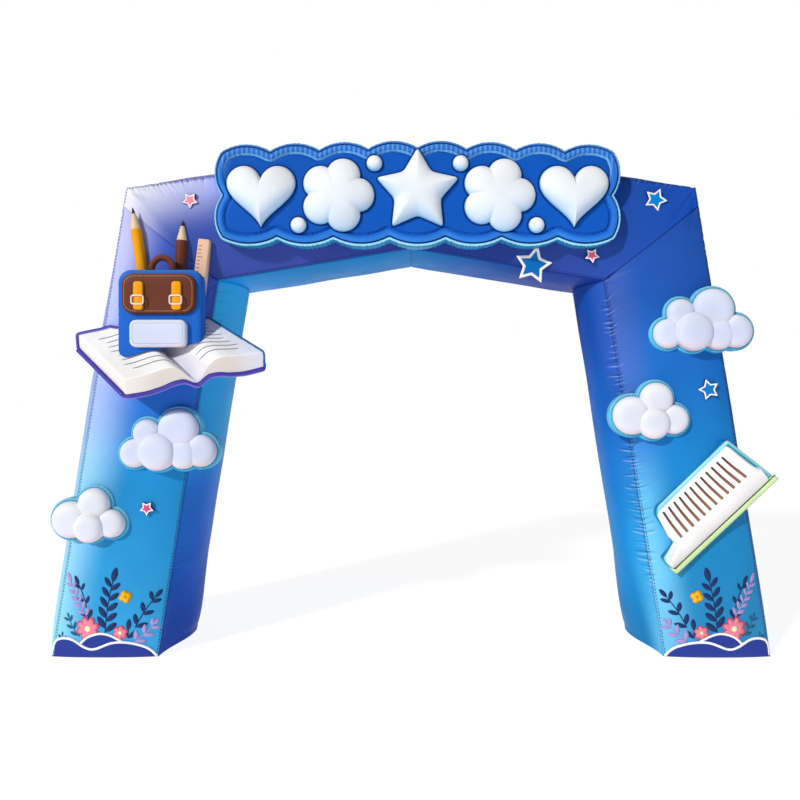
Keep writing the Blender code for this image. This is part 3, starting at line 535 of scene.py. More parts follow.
def beam_outer(share):
    """Outer end and top crown of the beam's section, share of the way from the knee to the ridge."""
    start, along, crowns = zip(*CORNER_TABLE)
    if share < start[0]:
        part = share / start[0]
        return mix(SEAM_OUTER, KNEE_OUTER, part), mix(SEAM_OUTER_CROWN, CORNER_CROWN, part)
    return mix(KNEE_OUTER, RIDGE_OUTER, np.interp(share, start, along)), np.interp(share, start, crowns)


def beam_sections():
    """The places of a beam's sections along its top edge, and the sections."""
    shares = np.linspace(0.0, 1.0, 4001)
    top = travelled(np.array([beam_outer(share)[0] for share in shares]))
    along = end_marks(top[-1], RING_PITCH)
    sections = []
    for share in np.interp(along, top, shares):
        outer, outer_crown = beam_outer(share)
        push = (-float(smooth_table(LEVEL_PUSH, share)), -float(smooth_table(DOWN_PUSH, share)))
        inner = mix(KNEE_INNER, RIDGE_INNER, share)
        sections.append(Section(inner, outer, FACE_CROWN, push, outer_crown, 1.0))
    return along, sections


def gather_depth(gathers, along, panels, from_first, to_second, seed):
    """How far the creases that run off the seams draw each point in."""
    rng = np.random.default_rng(seed)
    push = np.zeros((len(along), len(panels)))
    for gather in gathers:
        at = gather.start
        while at < gather.end:
            depth = gather.depth * rng.uniform(*CREASE_DEPTHS)
            width, slope = rng.uniform(*CREASE_WIDTH), rng.normal(0.0, CREASE_SLOPE)
            lengths = [reach * rng.uniform(*CREASE_REACHES) for reach in (gather.before, gather.after)]
            ends = ((panels == (gather.seam - 1) % 4, to_second), (panels == gather.seam, from_first))
            for length, (panel, distance) in zip(lengths, ends):
                columns = np.flatnonzero(panel & (distance < length))
                d = distance[columns]
                fade = (1 - d / length) ** 1.4
                offset = (along[:, None] - at - slope * d) / (width * (1 + 1.2 * d / length))
                push[:, columns] += depth * fade * np.exp(-offset ** 2)
            at += gather.pitch * rng.uniform(*CREASE_PITCHES)
    return push


def unevenness(along, shares, seed):
    """Slow swells of an inflated panel, zero at its seams."""
    rng = np.random.default_rng(seed)
    total = np.zeros((len(along), len(shares)))
    for _ in range(SWELL_WAVES):
        a, b = rng.uniform(1.2, 6.0), rng.uniform(-4.0, 4.0)
        total += np.sin(a * along[:, None] + b * shares + rng.uniform(0, math.tau))
    return SWELL * total * crown(shares % 1.0)


def fold_depth(points, panels):
    """How far the long soft folds draw each point of the front in."""
    push = np.zeros(points.shape[:2])
    front = panels == FRONT_INNER
    xz = points[:, front][..., [0, 2]]
    for fold in FOLDS:
        start, end = np.array(fold.start), np.array(fold.end)
        way = end - start
        share = np.clip(((xz - start) @ way) / (way @ way), 0.0, 1.0)
        off = np.linalg.norm(xz - start - share[..., None] * way, axis=-1)
        push[:, front] += fold.depth * (1 - share) ** 0.8 * np.exp(-(off / (fold.width * (0.5 + share))) ** 2)
    return push


def outward(points):
    """Unit normals of a lofted skin, pointing away from the middle of each ring."""
    round_it = np.roll(points, -1, axis=1) - np.roll(points, 1, axis=1)
    along = np.gradient(points, axis=0)
    normal = unit(np.cross(round_it, along))
    away = points - points.mean(axis=1, keepdims=True)
    return normal * np.sign(np.sum(normal * away, axis=-1, keepdims=True) + 1e-9)


def build_chamber(name, side, kind, seed, materials):
    """One leg or beam: its skin's points and the panel of each of its columns."""
    along, sections = leg_sections(side) if kind == LEG else beam_sections()
    points = np.array([section_ring(section, side) for section in sections])
    middle = sections[len(sections) // 2]
    panels, from_first, to_second, across = ring_marks(np.linalg.norm(middle.outer - middle.inner))
    seam_distance = np.minimum(from_first, to_second)[None, :] + 0 * along[:, None]
    to_end = along[-1] - along
    end_distance = (np.minimum(along, to_end) if kind == BEAM else to_end)[:, None] + 0 * seam_distance

    push = gather_depth(GATHERS[name] + BACK_GATHERS[kind], along, panels, from_first, to_second, seed)
    push *= np.clip(end_distance / GATHER_RUN, 0.0, 1.0)
    # lit: the slope of each crease, which the paint turns into painted light and painted shade
    lit = np.clip(np.gradient(push, along, axis=0) / STEEP_CREASE, -1.0, 1.0) * (1 if kind == LEG else side)
    push += fold_depth(points, panels) * np.clip(seam_distance / FOLD_RUN, 0.0, 1.0)
    shares = panels + from_first / (from_first + to_second)
    push -= unevenness(along, shares, seed + 1) * np.clip(end_distance / SWELL_RUN, 0.0, 1.0)
    push += SEAM_GROOVE * np.exp(-(np.minimum(seam_distance, end_distance) / GROOVE_WIDTH) ** 2)
    push[along < END_STRIP] = 0.0
    points -= outward(points) * push[..., None]
    if kind == LEG:
        points[..., 2] = np.maximum(points[..., 2], 0.0)
        points[0, :, 2] = 0.0
    else:
        points[-1, :, 0] = side * GAP
    points[0 if kind == BEAM else -1] += pull_back(points, kind)

    joint = KNEE_LINE[side] * np.exp(-(end_distance / JOINT_LINE) ** 2)
    seam = np.maximum(np.exp(-(seam_distance / SEAM_LINE) ** 2), joint)
    skin = loft(name + "_skin", points, materials, column_slots=panels,
                attributes={"seam": seam, "lit": lit, "across": np.tile(across, (len(along), 1))})
    finish_piece(skin, "arch_fabric", name)
    return skin, (points, panels)


def pull_back(points, kind):
    """The step back from the knee seam that leaves a gap between two chambers."""
    end, towards = (points[0], points[1]) if kind == BEAM else (points[-1], points[-2])
    return unit(towards - end).mean(axis=0) * GAP


def arch_materials():
    """Materials of the panels of each chamber: front, outer, back and inner."""
    beam_deep = along_beam(TOP_REACH, (0.0, "#6a74cc"), (0.10, "#3f58b2"), (0.31, "#3c4ba6"),
                           (0.5, "#283f96"), (0.62, "#263f95"), (0.78, "#2f4aa2"), (0.9, "#2252b2"),
                           (1.0, "#1652be"))
    # the near-white left end of the beam front's upper part is a painted highlight
    beam_painted_highlight = along_beam(TOP_REACH, (0.0, "#f2f0fe"), (0.05, "#e6e8fe"), (0.1, "#cdd2fb"),
                            (0.155, "#b8c0f8"), (0.22, "#7c88dc"), (0.32, "#4656b0"), (0.5, "#283f96"),
                            (0.9, "#2252b2"), (1.0, "#1652be"))
    builds = {
        # left_front: the paler colours towards its outer seam are a painted highlight, where the front turns
        # towards the light from the left
        "left_front": across_blend(
            gradient((0.02, "#3aa6e2"), (0.2, "#2a98d8"), (0.35, "#218ecf"), (0.5, "#2c78d6"),
                     (0.7, "#4062cc"), (1.0, "#4456bc")),
            gradient((0.1, "#9de1f0"), (0.2, "#a4def6"), (0.37, "#9ed7f6"), (0.5, "#a8c0f4"),
                     (0.7, "#bcc6f7"), (1.0, "#cfccf8")), 0.45, 1.0, 0.14),
        # right_front: the paler colours by its inner seam are painted light, where the front faces the light
        # from the left
        "right_front": across_blend(
            gradient((0.05, "#70c2ea"), (0.2, "#72c6ef"), (0.31, "#62c0f0"), (0.36, "#54a4e0"),
                     (0.42, "#3c84d0"), (0.57, "#4670c6"), (0.7, "#3c5cae"), (1.0, "#2e50aa")),
            gradient((0.05, "#2a8cc4"), (0.2, "#1f8ac8"), (0.42, "#1d84cf"), (0.55, "#1b70c6"),
                     (0.72, "#225ab6"), (1.0, "#284eac")), 0.04, 0.36),
        # left_outer is painted lighter than right_outer: a painted highlight on the side that faces the light
        # from the left
        "left_outer": gradient((0.0, "#8fe0f6"), (0.35, "#94cff4"), (0.6, "#a0a8ec"), (1.0, "#a8a4ec")),
        "right_outer": gradient((0.0, "#1f7cbc"), (0.3, "#2a66bc"), (0.6, "#3a58b8"), (1.0, "#2c4cb0")),
        "left_inner": gradient((0.02, "#0e40a8"), (0.12, "#1a56be"), (0.22, "#2a6ad0"), (0.33, "#2e78da"),
                               (0.44, "#38a8ea"), (0.7, "#38b2ee"), (1.0, "#3aa6e4")),
        # right_inner: the lighter colours by the front seam are a painted highlight, which fades further back
        "right_inner": from_seam(
            gradient((0.05, "#5cbcea"), (0.2, "#309fdc"), (0.31, "#2c8dd2"), (0.45, "#2468bc"),
                     (0.6, "#345fbc"), (1.0, "#2848a0")),
            gradient((0.02, "#0a78b4"), (0.2, "#0a88d0"), (0.35, "#0a78ca"), (0.5, "#0a62be"),
                     (0.62, "#0a4eae"), (1.0, "#0c3084"))),
        "beam_front": across_blend(beam_deep, beam_painted_highlight, 0.43, 1.0),
        "beam_under": along_beam(UNDER_REACH, (0.0, "#1c96e4"), (0.12, "#1888ce"), (0.3, "#0c7cc0"),
                                 (0.5, "#0a78be"), (0.64, "#0a62b4"), (0.85, "#143f9e"), (1.0, "#1a3a98")),
        # beam_top: its pale left end carries the same painted highlight as the left outer side
        "beam_top": along_beam(TOP_REACH, (0.0, "#a8a4ec"), (0.3, "#5c66c4"), (1.0, "#2450b4")),
        "back": gradient((0.0, "#1f8ac8"), (0.4, "#1d72cc"), (0.8, "#2a50b4"), (1.0, "#2c4cb0")),
    }
    made = {}
    for key, build in builds.items():
        shine = SHADED_SHINE if key in SHADED_PANELS else SHINE
        made[key] = nylon("nylon_" + key, with_seams(build), shine=shine)
    legs = {side: [made[side + "_front"], made[side + "_outer"], made["back"], made[side + "_inner"]]
            for side in ("left", "right")}
    return legs, [made["beam_front"], made["beam_top"], made["back"], made["beam_under"]]


def build_arch():
    """The four chambers: their pieces, and the skin points and panels of each by its name."""
    legs, beam = arch_materials()
    pieces, skins = [], {}
    for seed, (word, side) in enumerate(SIDES):
        for kind, first_seed, paints in ((LEG, 10, legs[word]), (BEAM, 20, beam)):
            name = kind + "_" + word
            piece, skins[name] = build_chamber(name, side, kind, first_seed + seed, paints)
            pieces.append(piece)
    return pieces, skins


def surface_of(pieces):
    """A tree for finding where the skin of some pieces lies."""
    points, faces = [], []
    for piece in pieces:
        base = len(points)
        points += [vertex.co.copy() for vertex in piece.data.vertices]
        faces += [[base + v for v in polygon.vertices] for polygon in piece.data.polygons]
    return BVHTree.FromPolygons(points, faces)


# ---- Seating on the arch --------------------
BEFORE_ALL, ABOVE_ALL = -3.0, 6.0  # y and z at which rays start, clear of the arch


def arch_front(x, z):
    """y of the arch's front skin at that place, or None beside it."""
    hit = ARCH_SKIN.ray_cast(Vector((x, BEFORE_ALL, z)), Vector((0.0, 1.0, 0.0)))[0]
    return hit.y if hit else None


def hit_below(skin, x, y):
    """The height at which a skin is met from above, or None."""
    hit = skin.ray_cast(Vector((x, y, ABOVE_ALL)), Vector((0.0, 0.0, -1.0)))[0]
    return hit.z if hit else None


def seated(points, clearance=0.0015):
    """The points, with any that lie behind the arch's front brought on to it."""
    moved = np.array(points, float)
    for point in moved.reshape(-1, 3):
        front = arch_front(point[0], point[2])
        if front is not None:
            point[1] = min(point[1], front - clearance)
    return moved


def above_pages(points, clearance=0.001):
    """The points, with those under the page tops lifted on to them."""
    moved = np.array(points, float)
    for point in moved.reshape(-1, 3):
        top = hit_below(PAGE_SKIN, point[0], point[1])
        if top is not None:
            point[2] = max(point[2], top + clearance)
    return moved


# ---- Padded shapes --------------------
STITCH_RISE = 0.002


def flat(outline, depth):
    """An outline of (x, z) points as points that lie depth in front of the seam plane."""
    outline = np.asarray(outline, float)
    return np.stack([outline[:, 0], FRONT_Y - np.broadcast_to(depth, len(outline)), outline[:, 1]], axis=1)


def towards_front(points):
    """A normal that faces the front, for each point."""
    return np.tile((0.0, -1.0, 0.0), (len(points), 1))


def turned(outline, angle, centre):
    """The outline turned about the origin, which is then moved to the centre."""
    c, s = math.cos(angle), math.sin(angle)
    x, z = np.asarray(outline, float).T
    return np.stack([centre[0] + x * c - z * s, centre[1] + x * s + z * c], axis=1)


def distances(points, outline):
    """How far each point lies from a closed outline."""
    close = resampled(outline, 0.004)
    tree = KDTree(len(close))
    for i, (x, z) in enumerate(close):
        tree.insert((x, z, 0.0), i)
    tree.balance()
    return np.array([tree.find((x, z, 0.0))[2] for x, z in points])


def within(points, outline):
    """Which points lie inside the outline."""
    after = np.roll(outline, -1, axis=0)
    answers = []
    for some in np.array_split(points, 1 + len(points) // 3000):
        x, z = some[:, :1], some[:, 1:]
        crosses = (outline[:, 1] > z) != (after[:, 1] > z)
        slope = (after[:, 0] - outline[:, 0]) / (after[:, 1] - outline[:, 1] + 1e-12)
        answers.append((crosses & (x < outline[:, 0] + (z - outline[:, 1]) * slope)).sum(axis=1) % 2 == 1)
    return np.concatenate(answers)


def filled(outline, pitch):
    """Points and triangles that fill an outline: its own points first, then an even net inside it."""
    low, high = outline.min(axis=0), outline.max(axis=0)
    rows = np.arange(low[1], high[1], 0.866 * pitch)
    x, z = np.meshgrid(np.arange(low[0], high[0], pitch), rows)
    x = x + 0.5 * pitch * (np.arange(len(rows)) % 2)[:, None]
    net = np.stack([x.ravel(), z.ravel()], axis=1)
    net = net[within(net, outline)]
    if len(net):
        net = net[distances(net, outline) > 0.6 * pitch]
    points = np.vstack([outline, net])
    ring = list(range(len(outline)))
    made = delaunay_2d_cdt([Vector(point) for point in points], [], [ring], 1, 1e-7)
    origin = np.array([olds[0] if olds else -1 for olds in made[3]])
    triangles = origin[np.array(made[2])]
    return points, triangles[(triangles >= 0).all(axis=1)]


# one row of a rim: how far it is drawn in, its depth, its share of the creases, and its edge attribute
Row = namedtuple("Row", "inset depth crease edge")


def padded_shape(node, slot, outline, rows, pitch, paint, relief=None, creases=0.0, fit=seated, marks=None):
    """A closed padded piece in the place of a node. outline is its outline, or a function that gives it drawn
    in by an amount. rows are its rim from the back to the front, and inside the last one the front is raised
    by relief(places, distances). The attribute edge is each row's own, and grows inwards from the last."""
    drawn_in = outline if callable(outline) else lambda by: inset(outline, by)
    points_round = len(drawn_in(0))
    rim = np.array([flat(inset(drawn_in(row.inset), row.crease * creases + np.zeros(points_round)), row.depth)
                    for row in rows])
    n, m = rim.shape[:2]
    first, last = rim[0][:, [0, 2]], rim[-1][:, [0, 2]]
    front, front_faces = filled(last, pitch)
    back, back_faces = filled(first, 3 * pitch)
    distance = distances(front, last)
    distance[:m] = 0.0
    depth = rows[-1].depth + (relief(front, distance) if relief else 0.0)
    points = np.vstack([rim.reshape(-1, 3), flat(back, rows[0].depth)[m:], flat(front, depth)[m:]])
    last_row = (n - 1) * m
    back_faces = np.where(back_faces < m, back_faces, back_faces + last_row)[:, ::-1]
    front_faces = np.where(front_faces < m, front_faces + last_row, front_faces + last_row + len(back) - m)
    edge = [np.repeat([row.edge for row in rows], m), np.full(len(back) - m, rows[0].edge),
            rows[-1].edge + distance[m:]]
    attributes = {"edge": np.concatenate(edge)}
    for key, measure in (marks or {}).items():
        attributes[key] = measure(points[:, [0, 2]])
    faces = [ring_quads(n, m), back_faces, front_faces]
    finish_piece(make_object(node + "_padded", fit(points), faces, [paint], None, attributes), slot, node)


def crowned(height, reach):
    """Relief that rises smoothly to a height over a distance from the edge."""
    return lambda places, distance: height * (1.0 - (1.0 - np.minimum(distance / reach, 1.0)) ** 2)


def rim_creases(outline, pitch, depth, seed):
    """Depth of the small creases across a rim, for each point of its outline."""
    rng = np.random.default_rng(seed)
    along = travelled(outline)
    push, at = np.zeros(len(outline)), 0.0
    while at < along[-1] + pitch:
        width = pitch * rng.uniform(0.10, 0.22)
        push += depth * rng.uniform(0.3, 1.0) * np.exp(-((along - at) / width) ** 2)
        at += pitch * rng.uniform(0.6, 1.5)
    return push


def rounded_rows(edge, front, turns, crease):
    """Rows that turn by those angles from a side wall on to the front."""
    return [Row(edge * (1 - math.cos(turn)), front - edge + edge * math.sin(turn), crease(turn),
                edge * (1 - math.cos(turn))) for turn in turns]


def round_edge(edge, front):
    return rounded_rows(edge, front, np.linspace(0.0, math.pi / 2, 6), lambda t: math.cos(t / 2))


def slab_rows(back, front, edge):
    """Rim rows of a plain slab with a rounded front edge."""
    wall = [Row(0.0, back, 0.2, -0.1), Row(0.0, mix(back, front - edge, 0.5), 0.8, -0.05)]
    return wall + round_edge(edge, front)


def beaded_rows(back, front, edge):
    """Rim rows of a slab with a round bead along its front edge."""
    bead = rounded_rows(edge, front, np.linspace(0.0, 0.78 * math.pi, 10), lambda t: 1 - t / 3)
    return slab_rows(back, front, edge)[:2] + bead + [Row(1.8 * edge, front - 0.4 * edge, 0.0, 1.8 * edge)]


def pad_rows(back, front, edge):
    """Rim rows of a pad that is round on both sides."""
    before = round_edge(edge, front)
    return [row._replace(depth=back + front - row.depth, edge=-row.edge) for row in before[::-1]] + before


def sewn(path, normals, pitch, length, width):
    """Thread stitches: points and faces of short raised bars along a path, each with its normal."""
    along = travelled(path)
    starts = np.arange(0.3 * pitch, along[-1] - length, pitch)
    low, high = read_along(path, along, starts), read_along(path, along, starts + length)
    normal = unit(read_along(normals, along, starts))
    way = unit(high - low)
    side = unit(np.cross(way, normal)) * width / 2
    lift, sink, end = normal * STITCH_RISE, -0.5 * STITCH_RISE * normal, 0.2 * length * way
    corners = np.stack([low - side + sink, low + side + sink, high + side + sink, high - side + sink,
                        low - 0.5 * side + lift + end, low + 0.5 * side + lift + end,
                        high + 0.5 * side + lift - end, high - 0.5 * side + lift - end], axis=1)
    box = np.array([(0, 3, 2, 1), (4, 5, 6, 7), (0, 1, 5, 4), (1, 2, 6, 5), (2, 3, 7, 6), (3, 0, 4, 7)])
    faces = (np.arange(len(starts)) * 8)[:, None, None] + box[None]
    return corners.reshape(-1, 3), faces.reshape(-1, 4)


def stitched_ring(name, outline, depth, paint, slot, pitch=0.024, length=0.014, width=0.006):
    """Stitches that face the front, all round an outline."""
    path = flat(ring_closed(outline), depth)
    trim(name, slot, [sewn(path, towards_front(path), pitch, length, width)], paint)


def ribbon(line, normals, width, thick, taper=1.0):
    """Points and faces of a thin closed strip that follows a line on a surface."""
    way = unit(np.gradient(line, axis=0))
    side = unit(np.cross(way, normals)) * (width / 2) * np.broadcast_to(taper, len(line))[:, None]
    low, high = -0.4 * thick * normals, thick * normals
    corners = (line - side + low, line + side + low, line + 0.8 * side + high, line - 0.8 * side + high)
    rings = np.stack(corners, axis=1)
    last = 4 * len(rings) - 1
    caps = np.array([[0, 1, 2, 3], [last, last - 1, last - 2, last - 3]])
    return rings.reshape(-1, 3), np.vstack([turned_quads(len(rings), 4), caps])


def joined_mesh(name, parts, paint, attributes=None):
    """One object from several (points, faces) parts."""
    counts = np.cumsum([0] + [len(points) for points, _ in parts])
    faces = [np.asarray(rows) + base for (_, rows), base in zip(parts, counts)]
    return make_object(name, np.vstack([points for points, _ in parts]), faces, [paint], None, attributes)


def trim(name, slot, parts, paint, attributes=None):
    """A thin trim or mark that stands for no node of its own."""
    finish_piece(joined_mesh(name, parts, paint, attributes), slot, fill=None)


def tube(line, radius, steps=12):
    """Points and faces of a round tube along a line: its side, and the fans that close its ends."""
    way = unit(np.gradient(line, axis=0))
    side = unit(np.cross(way, np.array((0.31, 0.27, 0.91))))
    over = np.cross(side, way)
    turns = math.tau * np.arange(steps) / steps
    spokes = np.cos(turns)[:, None] * side[:, None] + np.sin(turns)[:, None] * over[:, None]
    rings = line[:, None] + radius * spokes
    n, ring = len(line), np.arange(steps)
    fans = fan(n * steps, ring), fan(n * steps + 1, (n - 1) * steps + ring)[:, [0, 2, 1]]
    points = np.vstack([rings.reshape(-1, 3), line[:1], line[-1:]])
    return points, [turned_quads(n, steps), np.vstack(fans)]


# ---- Outlines, anticlockwise as seen from the front --------------------
def arc(start, end, rise, steps):
    """Points of an arc that bulges rise to the right of its way from start to end. The end is left out."""
    start, end = np.asarray(start, float), np.asarray(end, float)
    chord = end - start
    length = np.linalg.norm(chord)
    side = np.array((chord[1], -chord[0])) / length
    radius = (length * length / 4 + rise * rise) / (2 * rise)
    sweep = math.asin(length / 2 / radius)
    angles = mix(-sweep, sweep, np.arange(steps) / steps)
    return (start + chord * (0.5 + radius * np.sin(angles) / length)[:, None]
            + side * (radius * np.cos(angles) - radius + rise)[:, None])


def softened(outline, passes):
    """The outline with its corners rounded a little more by each pass."""
    for _ in range(passes):
        outline = 0.5 * outline + 0.25 * (np.roll(outline, 1, axis=0) + np.roll(outline, -1, axis=0))
    return outline


def round_about(reach, angles):
    """Points at those distances and angles about the origin."""
    return np.stack([reach * np.cos(angles), reach * np.sin(angles)], axis=1)


def star_outline(radius, waist, turn, pitch=0.008, passes=6):
    reach = np.where(np.arange(10) % 2 == 0, radius, waist * radius)
    corners = round_about(reach, np.radians(turn + 36.0 * np.arange(10)))
    return softened(resampled(corners, min(pitch, radius / 14)), passes)


def flower_outline(radius, petals, points=150, dip=0.26, turn=0.0):
    angle = math.tau * (np.arange(points) + 0.5) / points
    return round_about(radius * (1 - dip + dip * np.abs(np.cos(petals * angle / 2)) ** 0.7), angle + turn)


def heart_outline(size, points=130):
    t = math.tau * (np.arange(points) + 0.5) / points
    x = 16 * np.sin(t) ** 3
    z = 13 * np.cos(t) - 5 * np.cos(2 * t) - 2 * np.cos(3 * t) - np.cos(4 * t)
    return softened(resampled(np.stack([-size * x / 16, size * (z + 2) / 16], axis=1), 0.016), 2)


def circle_outline(radius, points=40):
    return round_about(radius, math.tau * np.arange(points) / points)


def rounded_rectangle(left, right, low, high, radius, pitch=0.012):
    corners = ((right - radius, low + radius, -90), (right - radius, high - radius, 0),
               (left + radius, high - radius, 90), (left + radius, low + radius, 180))
    turns = [[math.radians(start + 10 * i) for i in range(10)] for _, _, start in corners]
    points = [(x + radius * math.cos(turn), z + radius * math.sin(turn))
              for (x, z, _), quarter in zip(corners, turns) for turn in quarter]
    return resampled(points, pitch)


# ---- The sign --------------------
SIGN_CENTRE = np.array((0.07, 5.05))
SIGN_HALF_WIDTH = 2.11
SIGN_HALF_HEIGHT = 0.47
SIGN_GABLE = 0.05
SIGN_LOBES = (7, 2, 4, 4, 2)  # scallops of each side, from the lower one round
SIGN_THICK = 0.30
SIGN_FRONT = SEAT_Y + SIGN_THICK
SCALLOP_RISE = 0.075
SIGN_STITCHES = SEAT_Y + 0.19  # how far in front of the seam plane the sign's stitches run
Motif = namedtuple("Motif", "name x z size height")
SIGN_STAR = Motif("sign_star", 0.0, 0.03, 0.47, 0.13)
SIGN_PAIRS = (
    Motif("sign_flower", 0.86, -0.01, 0.40, 0.13),
    Motif("sign_heart", 1.67, -0.02, 0.37, 0.13),
    Motif("sign_dot_upper", 0.46, 0.33, 0.085, 0.07),
    Motif("sign_dot_lower", 1.27, -0.33, 0.085, 0.07),
)
SIGN_RIM = (
    Row(0.012, SEAT_Y, 0.2, -0.30),
    Row(0.002, SEAT_Y + 0.03, 0.6, -0.27),
    Row(0.0, SEAT_Y + 0.08, 1.0, -0.22),
    Row(0.0, SEAT_Y + 0.14, 1.0, -0.16),
    Row(0.0, SEAT_Y + 0.19, 1.0, -0.11),
    Row(0.005, SEAT_Y + 0.215, 1.0, -0.08),
    Row(0.010, SEAT_Y + 0.224, 1.0, -0.062),
    Row(0.003, SEAT_Y + 0.232, 0.6, -0.045),
    Row(0.001, SIGN_FRONT - 0.054, 0.5, -0.030),
    Row(0.004, SIGN_FRONT - 0.042, 0.4, -0.014),
    Row(0.011, SIGN_FRONT - 0.036, 0.3, -0.002),
    Row(0.019, SIGN_FRONT - 0.038, 0.2, 0.008),
    Row(0.025, SIGN_FRONT - 0.048, 0.0, 0.016),
    Row(0.030, SIGN_FRONT - 0.052, 0.0, 0.022),
    Row(0.035, SIGN_FRONT - 0.046, 0.0, 0.028),
)
# pitch of the light stripes painted on the band's puckers
SIGN_PUCKER = 0.052
SIGN_BAND, SIGN_BAND_RISE = 0.085, 0.046  # width and height of the puffed band inside the piping
SIGN_FIELD_RISE = 0.040
SIGN_HEIGHTS = (4.5, 5.65)  # z over which the sign's colours change


def sign_relief(places, distance):
    """A puffed band along the edge, a groove, and the level field inside it."""
    share = np.clip(distance / SIGN_BAND, 0.0, 1.0)
    band = SIGN_BAND_RISE * np.sqrt(np.maximum(0.0, 1 - (2 * share - 1) ** 2)) * (share < 1)
    field = np.clip((distance - SIGN_BAND) / 0.03, 0.0, 1.0)
    return band + SIGN_FIELD_RISE * field * (2 - field)


def sign_outline():
    """Scallops along the five sides of the sign, whose top rises to a low gable."""
    x, z = SIGN_CENTRE
    left, right = x - SIGN_HALF_WIDTH, x + SIGN_HALF_WIDTH
    low, high = z - SIGN_HALF_HEIGHT, z + SIGN_HALF_HEIGHT
    corners = np.array([(left, low), (right, low), (right, high), (x, high + SIGN_GABLE), (left, high)])
    points = []
    for start, end, lobes in zip(corners, np.roll(corners, -1, axis=0), SIGN_LOBES):
        for i in range(lobes):
            a, b = (mix(start, end, share / lobes) for share in (i, i + 1))
            points.append(arc(a, b, SCALLOP_RISE, 40))
    return resampled(np.vstack(points), 0.011)


def motif_outline(motif):
    if "star" in motif.name:
        return star_outline(motif.size, 0.55, 90, pitch=0.014, passes=10)
    if "flower" in motif.name:
        return flower_outline(motif.size, 5)
    if "heart" in motif.name:
        return heart_outline(motif.size)
    return circle_outline(motif.size)


def sign_motifs():
    """Each motif with its node's name, outline and place."""
    found = [(SIGN_STAR.name, SIGN_STAR, 1)]
    found += [(motif.name + "_" + word, motif, side) for motif in SIGN_PAIRS for word, side in SIDES]
    return [(name, motif, motif_outline(motif), SIGN_CENTRE + np.array((side * motif.x, motif.z)))
            for name, motif, side in found]


def build_motif(name, motif, outline, centre, paint):
    """A puffed shape: its edge stands up steeply and its middle is softly round."""
    mean_reach = np.linalg.norm(outline, axis=1).mean()
    rings, edge = [], []
    for turn in np.linspace(0.0, math.pi / 2, 18):
        share = max(0.02, math.cos(turn) ** 0.8)
        shape = mix(outline, unit(outline) * mean_reach, (1 - share) ** 2)
        depth = SIGN_FRONT + GAP + motif.height * (1 - share ** 2.6) ** 0.55
        rings.append(flat(centre + share * shape, depth))
        edge.append(np.full(len(outline), (1 - share) * mean_reach))
    padded_loft(name, "puff_white", rings, [paint], attributes={"edge": np.array(edge)})


def build_sign(paints):
    outline = sign_outline()
    motifs = sign_motifs()

    def to_motif(places):
        return np.min([distances(places, centre + shape) for _, _, shape, centre in motifs], axis=0)

    padded_shape("sign_panel", "sign_blue", outline, SIGN_RIM, 0.012, paints["sign"], sign_relief,
                 rim_creases(outline, 0.042, 0.018, 5), marks={"motif": to_motif})
    path = ring_closed(resampled(outline, 0.02))
    away = inset(path, -1.0) - path
    normals = np.stack([away[:, 0], np.zeros(len(path)), away[:, 1]], axis=1)
    line = flat(path, SIGN_STITCHES) + 0.001 * normals
    trim("sign_stitches", "sign_blue", [sewn(line, normals, 0.034, 0.020, 0.007)], paints["thread_blue"])
    for name, motif, shape, centre in motifs:
        build_motif(name, motif, shape, centre, paints["sign_puff"])


# ---- Clouds --------------------
Lobe = namedtuple("Lobe", "x z radius raised")
LARGE_CLOUD = (
    Lobe(0.116, 0.145, 0.235, 0.0),
    Lobe(-0.243, 0.104, 0.160, 0.0),
    Lobe(-0.388, -0.125, 0.165, 0.0),
    Lobe(-0.112, -0.104, 0.215, 0.055),
    Lobe(0.170, -0.125, 0.180, 0.014),
    Lobe(0.371, -0.096, 0.186, 0.0),
)
SMALL_CLOUD = (
    Lobe(-0.222, -0.062, 0.222, 0.0),
    Lobe(0.058, 0.125, 0.193, 0.0),
    Lobe(0.262, -0.107, 0.170, 0.0),
    Lobe(0.020, -0.146, 0.182, 0.050),
)
Cloud = namedtuple("Cloud", "name lobes x z scale")
CLOUDS = (
    Cloud("cloud_upper_left", LARGE_CLOUD, -2.640, 2.390, 0.95),
    Cloud("cloud_lower_left", SMALL_CLOUD, -3.500, 1.605, 0.91),
    Cloud("cloud_upper_right", LARGE_CLOUD, 3.172, 3.694, 0.975),
    Cloud("cloud_middle_right", SMALL_CLOUD, 2.612, 2.741, 0.945),
)
CLOUD_RIM = 0.034  # how far the rim stands out round the lobes
CLOUD_SEAT, CLOUD_FRONT = 0.045, 0.165  # how far in front of the seam plane the rim starts and ends
CLOUD_EDGE = 0.03
CLOUD_PUFF = 0.100  # rise of a cloud's widest lobe
LOBE_SUNK = -0.03  # a lobe starts behind the puff's back, which is then levelled
LOBE_CREASE = 26  # degrees at which the join between two lobes is a sharp crease


def lobed_ring(cloud, grow, points=420):
    """Points of the outline of the joined lobes, grown by that much."""
    angles = math.tau * np.arange(points) / points
    ways = np.stack([np.cos(angles), np.sin(angles)], axis=1)
    reach = np.zeros(points)
    for lobe in cloud.lobes:
        centre = np.array((lobe.x, lobe.z))
        along = ways @ centre
        inside = along ** 2 - centre @ centre + (lobe.radius + grow / cloud.scale) ** 2
        reach = np.where(inside > 0, np.maximum(reach, along + np.sqrt(np.maximum(inside, 0))), reach)
    return np.array((cloud.x, cloud.z)) + cloud.scale * reach[:, None] * ways


